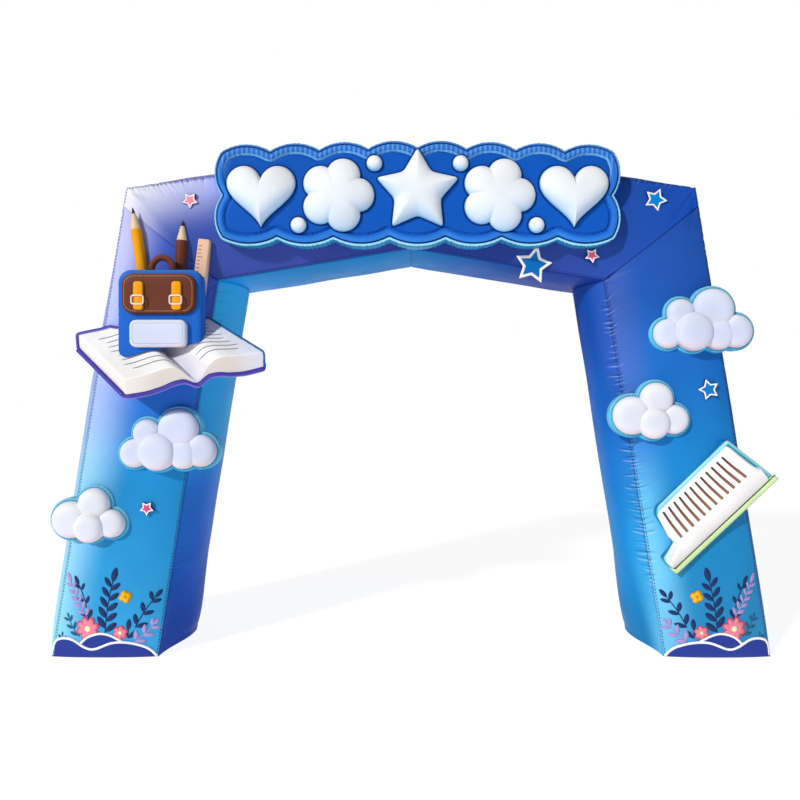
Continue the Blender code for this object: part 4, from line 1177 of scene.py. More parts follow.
def lobe_object(name, cloud, lobe, paint):
    """One lobe: a low round cushion."""
    height = CLOUD_PUFF * (lobe.radius / max(other.radius for other in cloud.lobes)) ** 0.5
    centre = np.array((cloud.x, cloud.z)) + cloud.scale * np.array((lobe.x, lobe.z))
    circle = circle_outline(cloud.scale * lobe.radius, 84)
    rings = [flat(centre + circle, CLOUD_FRONT + GAP + LOBE_SUNK)]
    for turn in np.linspace(0, math.pi / 2, 24):
        depth = lobe.raised + height * (1 - math.cos(turn) ** 3.8) ** 0.5
        rings.append(flat(centre + max(0.01, math.cos(turn)) * circle, CLOUD_FRONT + GAP + depth))
    return loft(name, np.array(rings), [paint])


def joined_lobes(cloud, paint):
    """One puff from all the lobes of a cloud, with a level back."""
    puff = lobe_object(cloud.name + "_puff_padded", cloud, cloud.lobes[0], paint)
    others = [lobe_object(f"lobe_{i}", cloud, lobe, paint) for i, lobe in enumerate(cloud.lobes[1:])]
    for other in others:
        join = puff.modifiers.new("join", "BOOLEAN")
        join.operation, join.solver, join.object = "UNION", "EXACT", other
    bpy.context.view_layer.update()
    mesh = bpy.data.meshes.new_from_object(puff.evaluated_get(bpy.context.evaluated_depsgraph_get()))
    puff.modifiers.clear()
    puff.data = mesh
    for other in others:
        bpy.data.objects.remove(other)
    for vertex in mesh.vertices:
        vertex.co.y = min(vertex.co.y, FRONT_Y - CLOUD_FRONT - GAP)
    mesh.shade_smooth()
    mesh.set_sharp_from_angle(angle=math.radians(LOBE_CREASE))
    return puff


def build_cloud(cloud, paints):
    front = CLOUD_FRONT - 0.002
    padded_shape(cloud.name + "_rim", "rim_cyan", lambda by: lobed_ring(cloud, CLOUD_RIM - by),
                 slab_rows(CLOUD_SEAT, front, CLOUD_EDGE), 0.03, paints["cloud_rim"],
                 creases=rim_creases(lobed_ring(cloud, CLOUD_RIM), 0.040, 0.004, 31))
    stitched_ring(cloud.name + "_stitches", lobed_ring(cloud, 0.30 * CLOUD_RIM), front, paints["thread_teal"],
                  "rim_cyan", 0.026, 0.015, 0.007)
    puff = "puff_bright" if cloud.lobes is SMALL_CLOUD else "puff_white"
    finish_piece(joined_lobes(cloud, paints[puff]), "puff_white", cloud.name + "_puff")


# ---- Stars --------------------
Star = namedtuple("Star", "name x z radius turn colour")
STARS = (
    Star("star_pink_beam_left", -2.415, 5.035, 0.098, 270, "star_pink"),
    Star("star_blue_beam_right", 2.680, 5.046, 0.138, 66, "star_blue"),
    Star("star_blue_large", 1.350, 4.340, 0.222, 79, "star_blue"),
    Star("star_pink_beam_right", 1.985, 4.435, 0.092, 276, "star_pink"),
    Star("star_blue_leg_right", 3.262, 2.965, 0.126, 108, "star_blue"),
    Star("star_pink_leg_left", -2.885, 1.668, 0.088, 270, "star_pink"),
)
STAR_THICK = 0.034
STAR_ROOT = 0.055  # how far behind the arch's front a star's side starts, before it is seated
STAR_WAIST = 0.52  # reach of its inner corners over that of its points
STAR_BORDER = {"star_pink": 0.18, "star_blue": 0.14}  # width of the white border over the star's radius


def build_star(star, paint):
    """A flat padded star with a raised field inside its white border."""
    hit = arch_front(star.x, star.z)
    surface = FRONT_Y - hit if hit is not None else SEAT_Y
    front = max(surface, SEAT_Y) + STAR_THICK
    outline = star_outline(star.radius, STAR_WAIST, star.turn, passes=2)
    half_turn = math.radians(36)
    waist_x, waist_z = STAR_WAIST * math.cos(half_turn), STAR_WAIST * math.sin(half_turn)
    edge_reach = star.radius * waist_z / math.hypot(1 - waist_x, waist_z)
    border = STAR_BORDER[star.colour] * star.radius
    rows = [Row(0.0, max(0.004, surface - STAR_ROOT), 0, -1.0), Row(0.0, front - 0.010, 0, -0.5),
            Row(0.002, front - 0.004, 0, -0.1), Row(0.005, front, 0, 0.1),
            Row(0.5 * border, front + 0.002, 0, 0.5), Row(border - 0.003, front, 0, 0.95),
            Row(border, front - 0.004, 0, 1.05), Row(border + 0.004, front - 0.005, 0, 1.2)]
    padded_shape(star.name, star.colour, lambda by: (star.x, star.z) + outline * (1 - by / edge_reach), rows,
                 0.012, paint, crowned(0.004, 0.02))


# ---- The open book --------------------
# corners of the book's base, as x, metres in front of the seam plane, z
SPINE_BACK, SPINE_FRONT = np.array((-2.879, 0.02, 3.497)), np.array((-2.228, 0.52, 3.013))
LEFT_BACK, LEFT_FRONT = np.array((-3.667, 0.02, 3.420)), np.array((-2.967, 0.52, 2.913))
RIGHT_BACK, RIGHT_FRONT = np.array((-2.232, 0.02, 3.600)), np.array((-1.537, 0.52, 3.204))
# (u, rise of the base) and (u, thickness of a page), where u is 0 at the spine and 1 at the outer edge
COVER_RISE = ((0.004, 0.022), (0.05, 0.032), (0.12, 0.060), (0.20, 0.080), (0.32, 0.072), (0.50, 0.035),
              (0.75, 0.005), (1.00, 0.0))
PAGE_THICK = ((0.004, 0.020), (0.10, 0.040), (0.20, 0.085), (0.32, 0.140), (0.50, 0.170), (0.75, 0.165),
              (1.0, 0.150))
PAGE_WIDTH, PAGE_LENGTH = 0.79, 0.86
COVER_THICK = 0.042
COVER_MARGIN = 0.06  # how far the cover stands out beyond the page's outer edge, in u
COVER_LIP = 1.04  # v of the cover's front edge
CORNER_ROUND = 0.08  # how far the cover's corners are rounded back, in v
COVER_CURL = 0.055  # rise of the cover's right end
THIN_FROM, THIN_OVER = 0.55, 0.45  # shares of the margin at which the cover's end thins, and over which
RISE_LEAN = 0.2  # how far a rise leans to the front, as a share of it
PAGE_ROUND = 0.014
PAGE_LINES, FIRST_LINE_V, LINE_STEP_V = 8, 0.17, 0.095
LINE_START_U, LINE_END_U = 0.16, 0.84
LINE_WIDTH, LINE_THICK = 0.012, 0.0022
PAGE_BACK_LIMIT = 0.5  # v by which a page's top is clear of the arch
PIPING = 0.017


def book_points(side, u, v, rise):
    """Points over the book's base: u from the spine to the outer edge, v from its back to its front."""
    outer_back, outer_front = (LEFT_BACK, LEFT_FRONT) if side < 0 else (RIGHT_BACK, RIGHT_FRONT)
    u, v, rise = as_one_shape(u, v, rise)
    back, front = mix(SPINE_BACK, outer_back, u[..., None]), mix(SPINE_FRONT, outer_front, u[..., None])
    at = mix(back, front, v[..., None])
    rise = rise + smooth_table(COVER_RISE, np.maximum(u, COVER_RISE[0][0]))
    return np.stack([at[..., 0], FRONT_Y - at[..., 1] - RISE_LEAN * rise, at[..., 2] + rise], axis=-1)


def page_top(side, u, v):
    return book_points(side, u, v, smooth_table(PAGE_THICK, u))


def build_page(word, side, paint):
    """A padded page: cross-sections from the spine to its rounded outer edge, each with rounded ends."""
    steps = 60
    round_u, round_v = PAGE_ROUND / PAGE_WIDTH, PAGE_ROUND / PAGE_LENGTH
    turns = np.linspace(0, math.pi / 2, 5)
    shares = np.concatenate([np.linspace(0.004, 1 - round_u, steps),
                             1 - round_u + round_u * np.sin(turns[1:])])
    drops = np.concatenate([np.zeros(steps), PAGE_ROUND * (1 - np.cos(turns[1:]))])
    rings = []
    for u, drop in zip(shares, drops):
        thick = float(smooth_table(PAGE_THICK, u)) - drop
        soft = min(PAGE_ROUND, 0.4 * thick)
        front = [(1 - round_v + round_v * math.cos(t), thick - soft + soft * math.sin(t)) for t in turns]
        back = [(1 - v, rise) for v, rise in front[::-1]]
        middle = [(v, thick) for v in np.linspace(1 - round_v, round_v, 26)[1:-1]]
        base = [(v, GAP) for v in np.linspace(0.0, 1.0, 8)]
        rising = [(1.0, mix(GAP, thick - soft, s)) for s in (0.35, 0.7)]
        falling = [(0.0, mix(thick - soft, GAP, s)) for s in (0.3, 0.65)]
        profile = np.array(base + rising + front + middle + back + falling)
        rings.append(book_points(side, u, profile[:, 0], profile[:, 1]))
    marks = {"across": np.repeat(shares, len(rings[0]))}
    padded_loft("book_page_" + word, "page_white", seated(rings), [paint], attributes=marks, sharp=50)


def build_page_lines(ink):
    """Plain ruled strokes on both pages, each a little longer or shorter than the last."""
    parts = []
    steps = np.arange(40)
    taper = np.clip(np.minimum(steps, steps[::-1]) / 5 + 0.35, 0, 1)
    for _, side in SIDES:
        for i in range(PAGE_LINES):
            v = FIRST_LINE_V + LINE_STEP_V * i
            u = np.linspace(LINE_START_U + 0.015 * (i * 3 % 4), LINE_END_U - 0.03 * (i * 2 % 3), len(steps))
            line = page_top(side, u, v)
            normal = unit(np.cross(unit(np.gradient(line, axis=0)), page_top(side, u, v + 0.01) - line))
            normal *= np.sign(normal[:, 2:3])
            parts.append(ribbon(line + 0.001 * normal, normal, LINE_WIDTH, LINE_THICK, taper))
    trim("book_page_strokes", "page_white", parts, ink)


def page_back_share(side, u):
    """How far forward the page top at u meets the front of the arch."""
    for v in np.linspace(0.0, PAGE_BACK_LIMIT, 51):
        x, y, z = page_top(side, u, v)
        front = arch_front(x, z + PIPING)
        if front is None or y < front - PIPING - 0.002:
            return v
    return PAGE_BACK_LIMIT


def cover_rings():
    """The cover, lofted from its left end to its right end with rounded corners and front edge."""
    shares = np.concatenate([np.linspace(1 + COVER_MARGIN, 0.30, 44), np.linspace(0.28, 0.004, 26)])
    half = COVER_THICK / 2
    bead = half / PAGE_LENGTH
    turns = np.linspace(-math.pi / 2, math.pi / 2, 9)
    rings = []
    for side, u in [(-1, u) for u in shares] + [(1, u) for u in shares[::-1]]:
        end = max(0.0, (u - 1.0) / COVER_MARGIN)
        slim = math.sqrt(max(0.04, 1 - max(0.0, (end - THIN_FROM) / THIN_OVER) ** 2))
        turn = min(1.0, max(0.0, (u - 1.0 + COVER_MARGIN) / (2 * COVER_MARGIN)))
        reach = COVER_LIP - CORNER_ROUND * (1 - math.sqrt(1 - turn ** 2))
        front = [(reach - bead + bead * math.cos(t), -half + half * slim * math.sin(t)) for t in turns]
        top = [(v, -half + half * slim) for v in np.linspace(reach - bead, 0.0, 14)]
        low = [(v, -half - half * slim) for v in np.linspace(0.0, reach - bead, 14)]
        profile = np.array(front + top + low)
        curl = COVER_CURL * end ** 1.5 * (side > 0)
        rings.append(book_points(side, u, profile[:, 0], profile[:, 1] + curl))
    return seated(rings)


def piping_line(side, radius):
    """The line of the piping: along the back of the page, down its outer end and along the cover's end."""
    back = []
    for u in np.linspace(0.12, 0.99, 60):
        back.append(page_top(side, u, page_back_share(side, u)) + np.array((0.0, 0.0, 0.75 * radius)))
    v_end = page_back_share(side, 0.99)
    if side < 0:
        corner = [book_points(side, 1.025, v_end - 0.005, rise) for rise in np.linspace(0.15, 0.0, 12)]
        outer = corner + [book_points(side, 1.03, v, 0.0) for v in np.linspace(v_end + 0.02, 0.97, 50)]
    else:
        outer = [book_points(side, 1.012, v, 0.152) for v in np.linspace(v_end, 1.0, 50)]
        outer += [book_points(side, 1.012, 1.008, rise) for rise in np.linspace(0.14, 0.0, 10)]
    path = resampled(back + outer, 0.012, closed=False)
    for _ in range(4):
        path[1:-1] = 0.5 * path[1:-1] + 0.25 * (path[:-2] + path[2:])
    return path


def build_book(paints):
    for word, side in SIDES:
        build_page(word, side, paints["page_" + word])
    padded_loft("book_cover", "cover_violet", cover_rings(), [paints["cover_violet"]])
    for (word, side), paint, radius in zip(SIDES, ("cover_violet", "cover_teal"), (PIPING, 0.011)):
        points, faces = tube(piping_line(side, radius), radius)
        piping = make_object("book_piping_" + word, seated(points), faces, [paints[paint]])
        finish_piece(piping, "cover_violet")


# ---- The satchel and what stands behind it --------------------
SATCHEL_X = -2.66
SATCHEL_WIDTH = 0.90
SATCHEL_LOW = 3.20  # before its bottom settles on the pages
SATCHEL_TOP_Z = 4.24
SATCHEL_BACK, SATCHEL_FRONT = 0.215, 0.395  # in front of the seam plane
SATCHEL_CORNER = 0.14
SATCHEL_EDGE = 0.05
SATCHEL_SETTLE = 0.42  # height over which its lower part gives
SATCHEL_CLEARANCE = 0.004
Patch = namedtuple("Patch", "half_width low high corner thick edge slot")
POCKET = Patch(0.30, 3.41, 3.70, 0.07, 0.07, 0.03, "puff_white")
FLAP = Patch(0.39, 3.76, 4.19, 0.13, 0.05, 0.025, "satchel_brown")
STRAP = Patch(0.05, 3.80, 4.10, 0.03, 0.03, 0.01, "satchel_yellow")
STRAP_X = 0.20
BUCKLE_HALF_WIDTH, BUCKLE_LOW, BUCKLE_HIGH, BUCKLE_RADIUS = 0.062, 3.86, 3.95, 0.009
PATCH_CROWN = 0.006
HANDLE_RADIUS = 0.15
HANDLE_THICK = 0.035


def taut_profile(depth, places):
    """Height at one depth of a string pulled tight across the page tops."""
    line = []
    for x in places:
        top = hit_below(PAGE_SKIN, x, FRONT_Y - depth)
        point = (x, SATCHEL_LOW if top is None else top)
        while len(line) > 1 and ((line[-1][0] - line[-2][0]) * (point[1] - line[-2][1])
                                 >= (line[-1][1] - line[-2][1]) * (point[0] - line[-2][0])):
            line.pop()
        line.append(point)
    return np.interp(places, *zip(*line))


def settled(points):
    """The satchel's points, its lower part moved so that it rests on both pages."""
    places = np.linspace(SATCHEL_X - SATCHEL_WIDTH / 2, SATCHEL_X + SATCHEL_WIDTH / 2, 46)
    depths = np.linspace(SATCHEL_BACK, SATCHEL_FRONT, 7)
    table = np.array([taut_profile(depth, places) for depth in depths])
    moved = np.array(points, float)
    for point in moved:
        share = (point[2] - SATCHEL_LOW) / SATCHEL_SETTLE
        if share < 1.0:
            column = [np.interp(point[0], places, row) for row in table]
            rest = np.interp(FRONT_Y - point[1], depths, column)
            point[2] += (rest + SATCHEL_CLEARANCE - SATCHEL_LOW) * (1.0 - max(share, 0.0)) ** 1.5
    return above_pages(moved)


def patch_piece(name, patch, x, back, paint, thread=None):
    """A flat padded patch on the satchel, with stitches round it where there is thread."""
    left, right = x - patch.half_width, x + patch.half_width
    outline = rounded_rectangle(left, right, patch.low, patch.high, patch.corner, 0.010)
    front = back + patch.thick
    padded_shape(name, patch.slot, outline, slab_rows(back, front, patch.edge), 0.016, paint,
                 crowned(PATCH_CROWN, 0.08), rim_creases(outline, 0.05, 0.0015, 61))
    if thread:
        within_edge = inset(outline, 1.25 * patch.edge)
        stitched_ring(name + "_stitches", within_edge, front + 0.001, thread, patch.slot)


def build_satchel(paints):
    left, right = SATCHEL_X - SATCHEL_WIDTH / 2, SATCHEL_X + SATCHEL_WIDTH / 2
    outline = rounded_rectangle(left, right, SATCHEL_LOW, SATCHEL_TOP_Z, SATCHEL_CORNER, 0.010)
    padded_shape("satchel_body", "satchel_blue", outline, pad_rows(SATCHEL_BACK, SATCHEL_FRONT, SATCHEL_EDGE),
                 0.018, paints["satchel_blue"], creases=rim_creases(outline, 0.06, 0.004, 71), fit=settled)
    face = SATCHEL_FRONT + GAP
    patch_piece("satchel_pocket", POCKET, SATCHEL_X, face, paints["puff_white"], paints["thread_teal"])
    patch_piece("satchel_flap", FLAP, SATCHEL_X, face, paints["satchel_brown"], paints["thread_light"])
    over = face + FLAP.thick + PATCH_CROWN + GAP
    buckles = []
    for word, side in SIDES:
        x = SATCHEL_X + side * STRAP_X
        patch_piece("satchel_strap_" + word, STRAP, x, over, paints["satchel_yellow"])
        line = rounded_rectangle(x - BUCKLE_HALF_WIDTH, x + BUCKLE_HALF_WIDTH, BUCKLE_LOW, BUCKLE_HIGH, 0.02)
        points, faces = tube(flat(np.vstack([line, line[:2]]), over + STRAP.thick + 0.012), BUCKLE_RADIUS, 8)
        buckles.append((points, faces[0]))
    trim("satchel_buckles", "satchel_yellow", buckles, paints["page_side"])
    turns = np.linspace(0.0, math.pi, 40)
    reach = HANDLE_RADIUS - HANDLE_THICK
    x, z = SATCHEL_X + reach * np.cos(turns), SATCHEL_TOP_Z + 0.004 + 1.15 * reach * np.sin(turns)
    line = flat(np.stack([x, z], axis=1), (SATCHEL_BACK + SATCHEL_FRONT) / 2)
    points, faces = tube(line, HANDLE_THICK, 16)
    points[:, 2] = np.maximum(points[:, 2], SATCHEL_TOP_Z + GAP)
    handle = make_object("satchel_handle_padded", points, faces, [paints["satchel_brown"]])
    finish_piece(handle, "satchel_brown", "satchel_handle")


# ---- The pencils and the ruler --------------------
Pencil = namedtuple("Pencil", "name slot foot_x foot_z lean length radius")
PENCILS = (
    Pencil("pencil_yellow", "satchel_yellow", -2.80, 3.45, 9.0, 1.52, 0.060),
    Pencil("pencil_brown", "satchel_brown", -2.56, 3.45, -3.0, 1.36, 0.060),
)
PENCIL_DEPTH = 0.148  # of its middle, in front of the seam plane
PENCIL_SHOULDER, PENCIL_WOOD_END, PENCIL_POINT = 0.84, 0.955, 0.992  # shares of its length
PENCIL_FACET = 0.03  # how far its six edges stand out, as a share of its radius
BACKWARDS = np.array((0.0, 1.0, 0.0))
RULER_WIDTH, RULER_LENGTH = 0.13, 1.10
RULER_FOOT = (-2.38, 3.51)
RULER_LEAN = math.radians(-7.0)
RULER_BACK, RULER_FRONT = 0.09, 0.19
RULER_EDGE = 0.015
RULER_MARKS, FIRST_MARK, MARK_PITCH = 24, 0.10, 0.040
LONG_MARK, SHORT_MARK = 0.055, 0.032


def build_pencil(pencil, paints):
    """A padded rod: body, wood cone and point."""
    lean = math.radians(pencil.lean)
    up = np.array((-math.sin(lean), 0.0, math.cos(lean)))
    across = np.array((math.cos(lean), 0.0, math.sin(lean)))
    foot = np.array((pencil.foot_x, FRONT_Y - PENCIL_DEPTH, pencil.foot_z))
    body = [(s, 1.0) for s in np.linspace(0.0, PENCIL_SHOULDER - 0.02, 30)]
    shoulder = [(PENCIL_SHOULDER - 0.006, 0.985), (PENCIL_SHOULDER, 0.93)]
    cone = [(mix(PENCIL_SHOULDER, PENCIL_WOOD_END, s), mix(0.93, 0.36, s)) for s in np.linspace(0.1, 1.0, 8)]
    point = [(mix(PENCIL_WOOD_END, PENCIL_POINT, s), mix(0.34, 0.12, s)) for s in np.linspace(0.0, 1.0, 5)]
    turns = math.tau * np.arange(36) / 36
    rings = []
    for share, width in body + shoulder + cone + point + [(0.999, 0.05)]:
        facets = 1.0 + PENCIL_FACET * np.cos(6 * turns) * (width == 1.0)
        spread = np.cos(turns)[:, None] * across * facets[:, None] + np.sin(turns)[:, None] * BACKWARDS
        rings.append(foot + up * pencil.length * share + pencil.radius * width * spread)
    coloured, wooden = len(body) + 1, len(cone) + 1
    slots = [0] * coloured + [1] * wooden + [2] * (len(rings) - 1 - coloured - wooden)
    padded_loft(pencil.name, pencil.slot, seated(above_pages(rings)), paints, ring_slots=slots)


def build_ruler(paint, ink):
    """The ruler and its marks, of which each fifth is longer."""
    upright = rounded_rectangle(-RULER_WIDTH / 2, RULER_WIDTH / 2, 0.0, RULER_LENGTH, 0.02, 0.010)
    padded_shape("ruler", "ruler_peach", turned(upright, RULER_LEAN, RULER_FOOT),
                 slab_rows(RULER_BACK, RULER_FRONT, RULER_EDGE), 0.02, paint,
                 fit=lambda points: above_pages(seated(points)))
    parts = []
    for i in range(RULER_MARKS):
        length, z = SHORT_MARK if i % 5 else LONG_MARK, FIRST_MARK + i * MARK_PITCH
        places = [(-RULER_WIDTH / 2 + 0.016 + length * share, z) for share in (0.0, 0.5, 1.0)]
        mark = turned(places, RULER_LEAN, RULER_FOOT)
        parts.append(ribbon(flat(mark, RULER_FRONT + 0.0005), towards_front(mark), 0.007, 0.0015))
    trim("ruler_marks", "ruler_peach", parts, ink)


# ---- The notebook --------------------
NOTEBOOK_CORNER = (2.877, 0.960)
NOTEBOOK_TURN = math.radians(43.1)
NOTEBOOK_COVER = ((0.0, 0.06), (1.513, 0.06), (1.415, 0.674), (0.36, 0.66), (0.285, 0.60), (0.215, 0.25),
                  (0.012, 0.20))
NOTEBOOK_COVER_THICK = 0.15
NOTEBOOK_COVER_EDGE = 0.03
NOTEBOOK_STRIP = ((0.0, 0.0), (1.522, 0.0), (1.513, 0.0597), (0.0, 0.0597))
NOTEBOOK_STRIP_THICK = 0.20
NOTEBOOK_STRIP_EDGE = 0.018
NOTEBOOK_OVER = SEAT_Y + NOTEBOOK_COVER_THICK + GAP
BLOCK_LOW = ((0.015, 0.090), (0.045, 0.074), (0.17, 0.072), (1.425, 0.072))
BLOCK_HIGH = ((0.015, 0.165), (0.045, 0.200), (0.19, 0.26), (1.425, 0.26))
BLOCK_PROFILE = ((0.0, 0.055), (0.10, 0.080), (0.35, 0.115), (0.70, 0.142), (1.0, 0.150))
PAGE_LOW_Q = 0.26
PAGE_LOW = ((0.22, PAGE_LOW_Q + GAP), (1.40, PAGE_LOW_Q + GAP))
PAGE_HIGH = ((0.22, 0.36), (0.285, 0.59), (0.34, 0.625), (1.357, 0.645), (1.40, 0.34))
PAGE_PROFILE = ((0.0, 0.150), (0.3, 0.128), (0.65, 0.085), (1.0, 0.04))
STROKE_TOPS, STROKE_FEET = (0.356, 1.222), (0.304, 1.245)  # p of the first and last stroke at their ends
STROKE_TOP_Q, STROKE_FOOT_Q = 0.60, 0.30
NOTEBOOK_STROKES = 12
STROKE_WIDTH, STROKE_THICK, STROKE_BOW = 0.032, 0.0025, 0.006
OLIVE_PIPING = (0.0655, 0.048, 0.0055)  # its q, its place in front of the cover and its radius


def notebook_place(p, q, depth):
    """Points of the notebook: p up its long edge, q across it, depth in front of the seam plane."""
    p, q, depth = as_one_shape(p, q, depth)
    c, s = math.cos(NOTEBOOK_TURN), math.sin(NOTEBOOK_TURN)
    return np.stack([NOTEBOOK_CORNER[0] + p * c - q * s, FRONT_Y - depth, NOTEBOOK_CORNER[1] + p * s + q * c],
                    axis=-1)


def notebook_pad(name, lows, highs, profile, paint, rounded, soft=0.014):
    """A pad along p whose section follows the profile. Its ends are rounded, and its two edges if so."""
    start, end = max(lows[0][0], highs[0][0]), min(lows[-1][0], highs[-1][0])
    turns = np.linspace(0.0, math.pi / 2, 5)
    ends = soft * (1 - np.cos(turns))
    even = np.linspace(start + soft * 1.4, end - soft * 1.4, 70)
    at = np.concatenate([start + ends, even, end - ends[::-1]])
    slim = np.concatenate([np.sin(turns), np.ones(len(even)), np.sin(turns[::-1])])
    shares = np.concatenate([[0.0, 0.006, 0.02], np.linspace(0.05, 0.95, 22), [0.98, 0.994, 1.0]])
    edge = np.ones(len(shares))
    for is_round, places in zip(rounded, (slice(0, 3), slice(-1, -4, -1))):
        if is_round:
            edge[places] = (0.55, 0.85, 0.97)
    rings = []
    for p, full in zip(at, slim):
        low, high = (float(np.interp(p, *zip(*table))) for table in (lows, highs))
        q = mix(low, high, shares)
        depth = smooth_table(profile, shares) * edge * mix(0.75, 1.0, full)
        front = notebook_place(p, q, NOTEBOOK_OVER + depth)
        back = notebook_place(p, q[::-1][[0, 9, 18, -1]], NOTEBOOK_OVER)
        rings.append(np.concatenate([front, back]))
    padded_loft(name, "page_white", rings, [paint], sharp=70)


def notebook_base(node, slot, corners, passes, point_pitch, rows, pitch, paint, creases):
    """A part of the notebook that lies on the leg. creases are their pitch, depth and seed."""
    outline = softened(resampled(notebook_place(*np.array(corners).T, 0.0)[:, [0, 2]], point_pitch), passes)
    padded_shape(node, slot, outline, rows, pitch, paint, creases=rim_creases(outline, *creases))


def build_notebook(paints):
    notebook_base("notebook_cover", "rim_cyan", NOTEBOOK_COVER, 8, 0.010,
                  beaded_rows(SEAT_Y, SEAT_Y + NOTEBOOK_COVER_THICK, NOTEBOOK_COVER_EDGE), 0.03,
                  paints["notebook_cyan"], (0.022, 0.006, 81))
    notebook_base("notebook_edge", "notebook_green", NOTEBOOK_STRIP, 3, 0.008,
                  slab_rows(SEAT_Y, SEAT_Y + NOTEBOOK_STRIP_THICK, NOTEBOOK_STRIP_EDGE), 0.02,
                  paints["notebook_green"], (0.06, 0.0015, 82))
    page = paints["page_flat"]
    notebook_pad("notebook_block", BLOCK_LOW, BLOCK_HIGH, BLOCK_PROFILE, page, (True, False))
    notebook_pad("notebook_page", PAGE_LOW, PAGE_HIGH, PAGE_PROFILE, page, (False, True))
    parts = []
    s = np.linspace(0.0, 1.0, 30)
    along_page = notebook_place(1.0, 0.0, 0.0) - notebook_place(0.0, 0.0, 0.0)
    for i in range(NOTEBOOK_STROKES):
        top, foot = (mix(*ends, i / (NOTEBOOK_STROKES - 1)) for ends in (STROKE_TOPS, STROKE_FEET))
        p = mix(top, foot, s) - STROKE_BOW * np.sin(math.pi * s)
        q = mix(STROKE_TOP_Q, STROKE_FOOT_Q, s)
        shares = (q - PAGE_LOW_Q) / (np.interp(p, *zip(*PAGE_HIGH)) - PAGE_LOW_Q)
        line = notebook_place(p, q, NOTEBOOK_OVER + smooth_table(PAGE_PROFILE, shares) + 0.001)
        normal = unit(np.cross(np.gradient(line, axis=0), along_page))
        normal *= -np.sign(normal[:, 1:2])
        parts.append(ribbon(line, normal, STROKE_WIDTH, STROKE_THICK, np.clip(0.74 + 0.4 * s, 0, 1)))
    along = np.tile(np.repeat(s, 4), NOTEBOOK_STROKES)
    trim("notebook_strokes", "page_white", parts, paints["stroke_brown"], {"along": along})
    q, before, radius = OLIVE_PIPING
    line = notebook_place(np.linspace(0.02, 1.515, 60), q, SEAT_Y + NOTEBOOK_COVER_THICK + before)
    finish_piece(make_object("notebook_piping", *tube(line, radius, 8), [paints["olive"]]), "notebook_green")


# ---- Print at the feet --------------------
PRINT_THICK = 0.003  # of one sheet
PRINT_OFF = 0.0006  # a print's back lies this far off the skin
LEG_MIDDLE = 3.4  # x of the middle of a leg's foot
WAVE_FRONT = ((-3.961, 0.140), (-3.935, 0.181), (-3.888, 0.208), (-3.805, 0.223), (-3.732, 0.213),
              (-3.670, 0.181), (-3.607, 0.140), (-3.524, 0.108), (-3.450, 0.119), (-3.377, 0.150),
              (-3.294, 0.181), (-3.200, 0.192), (-3.095, 0.181), (-2.991, 0.150), (-2.908, 0.108),
              (-2.856, 0.060), (-2.832, 0.030))
WAVE_MIDDLE = ((-3.642, 0.165), (-3.564, 0.236), (-3.476, 0.276), (-3.388, 0.290), (-3.300, 0.270),
               (-3.211, 0.222), (-3.156, 0.185))
WAVE_FOOT = 0.10  # z down to which the middle wave reaches, behind the front one
LEAF_TURN = math.radians(42)
# a stem from foot to tip and how far it bends, its paint, leaf pairs and leaf length
Sprig = namedtuple("Sprig", "foot tip bend paint leaves length")
SPRIGS = (
    Sprig((-3.352, 0.300), (-3.225, 1.005), 0.020, "print_navy", 5, 0.145),
    Sprig((-3.030, 0.350), (-2.755, 0.748), 0.020, "print_navy", 3, 0.118),
    Sprig((-3.045, 0.187), (-2.792, 0.425), -0.015, "print_lilac", 3, 0.112),
    Sprig((-3.555, 0.480), (-3.795, 0.930), 0.015, "print_lilac", 5, 0.092),
    Sprig((-3.535, 0.450), (-3.705, 0.905), -0.030, "print_navy", 3, 0.098),
    Sprig((-3.650, 0.250), (-3.790, 0.500), 0.015, "print_teal", 3, 0.088),
    Sprig((-3.860, 0.190), (-3.855, 0.290), 0.000, "print_teal", 1, 0.070),
    Sprig((-3.105, 0.230), (-3.088, 0.448), 0.006, "print_navy", 1, 0.110),
)
# levels are heights in sheets of print, so that where shapes cross the higher one shows
SPRIG_LEVELS = {"print_teal": 0.6, "print_navy": 1.0, "print_lilac": 1.4}
BLOSSOM_LEVELS = (1.9, 2.4, 3.0)
PETAL_LAYERS = ((1.0, 0.34), (0.86, 0.40))  # share of the radius and dip between the petals, for both layers
# place, radius, petals, paints of the edge, petals and middle
Blossom = namedtuple("Blossom", "x z radius petals paints")
BLOSSOMS = (
    Blossom(-3.543, 0.343, 0.140, 8, ("print_rose", "print_pink", "print_cream")),
    Blossom(-3.185, 0.298, 0.084, 6, ("print_rose", "print_pink", "print_cream")),
    Blossom(-3.128, 0.696, 0.072, 4, ("print_amber", "print_yellow", "print_amber")),
)


def leaf_outline(place, angle, length):
    """A rounded leaf that starts at its place."""
    share = np.linspace(0.0, 1.0, 13)
    half = 0.21 * length * np.sin(math.pi * share ** 1.05) ** 0.62
    outline = np.concatenate([np.stack([length * share, -half], axis=1),
                              np.stack([length * share[-2:0:-1], half[-2:0:-1]], axis=1)])
    return turned(outline, angle, place)


def line_outline(line, width):
    """The outline of a flat strip along a line."""
    line = np.asarray(line, float)
    way = unit(np.gradient(line, axis=0))
    side = np.stack([-way[:, 1], way[:, 0]], axis=1) * width / 2
    return np.concatenate([line - side, (line + side)[::-1]])


def leg_front(x, z):
    """y of the leg's front there, or just inside its edge for a place beside it."""
    for inward in np.linspace(0.0, 0.06, 11):
        front = arch_front(x - math.copysign(inward, abs(x) - LEG_MIDDLE) * math.copysign(1.0, x), z)
        if front is not None:
            return front
    return FRONT_Y


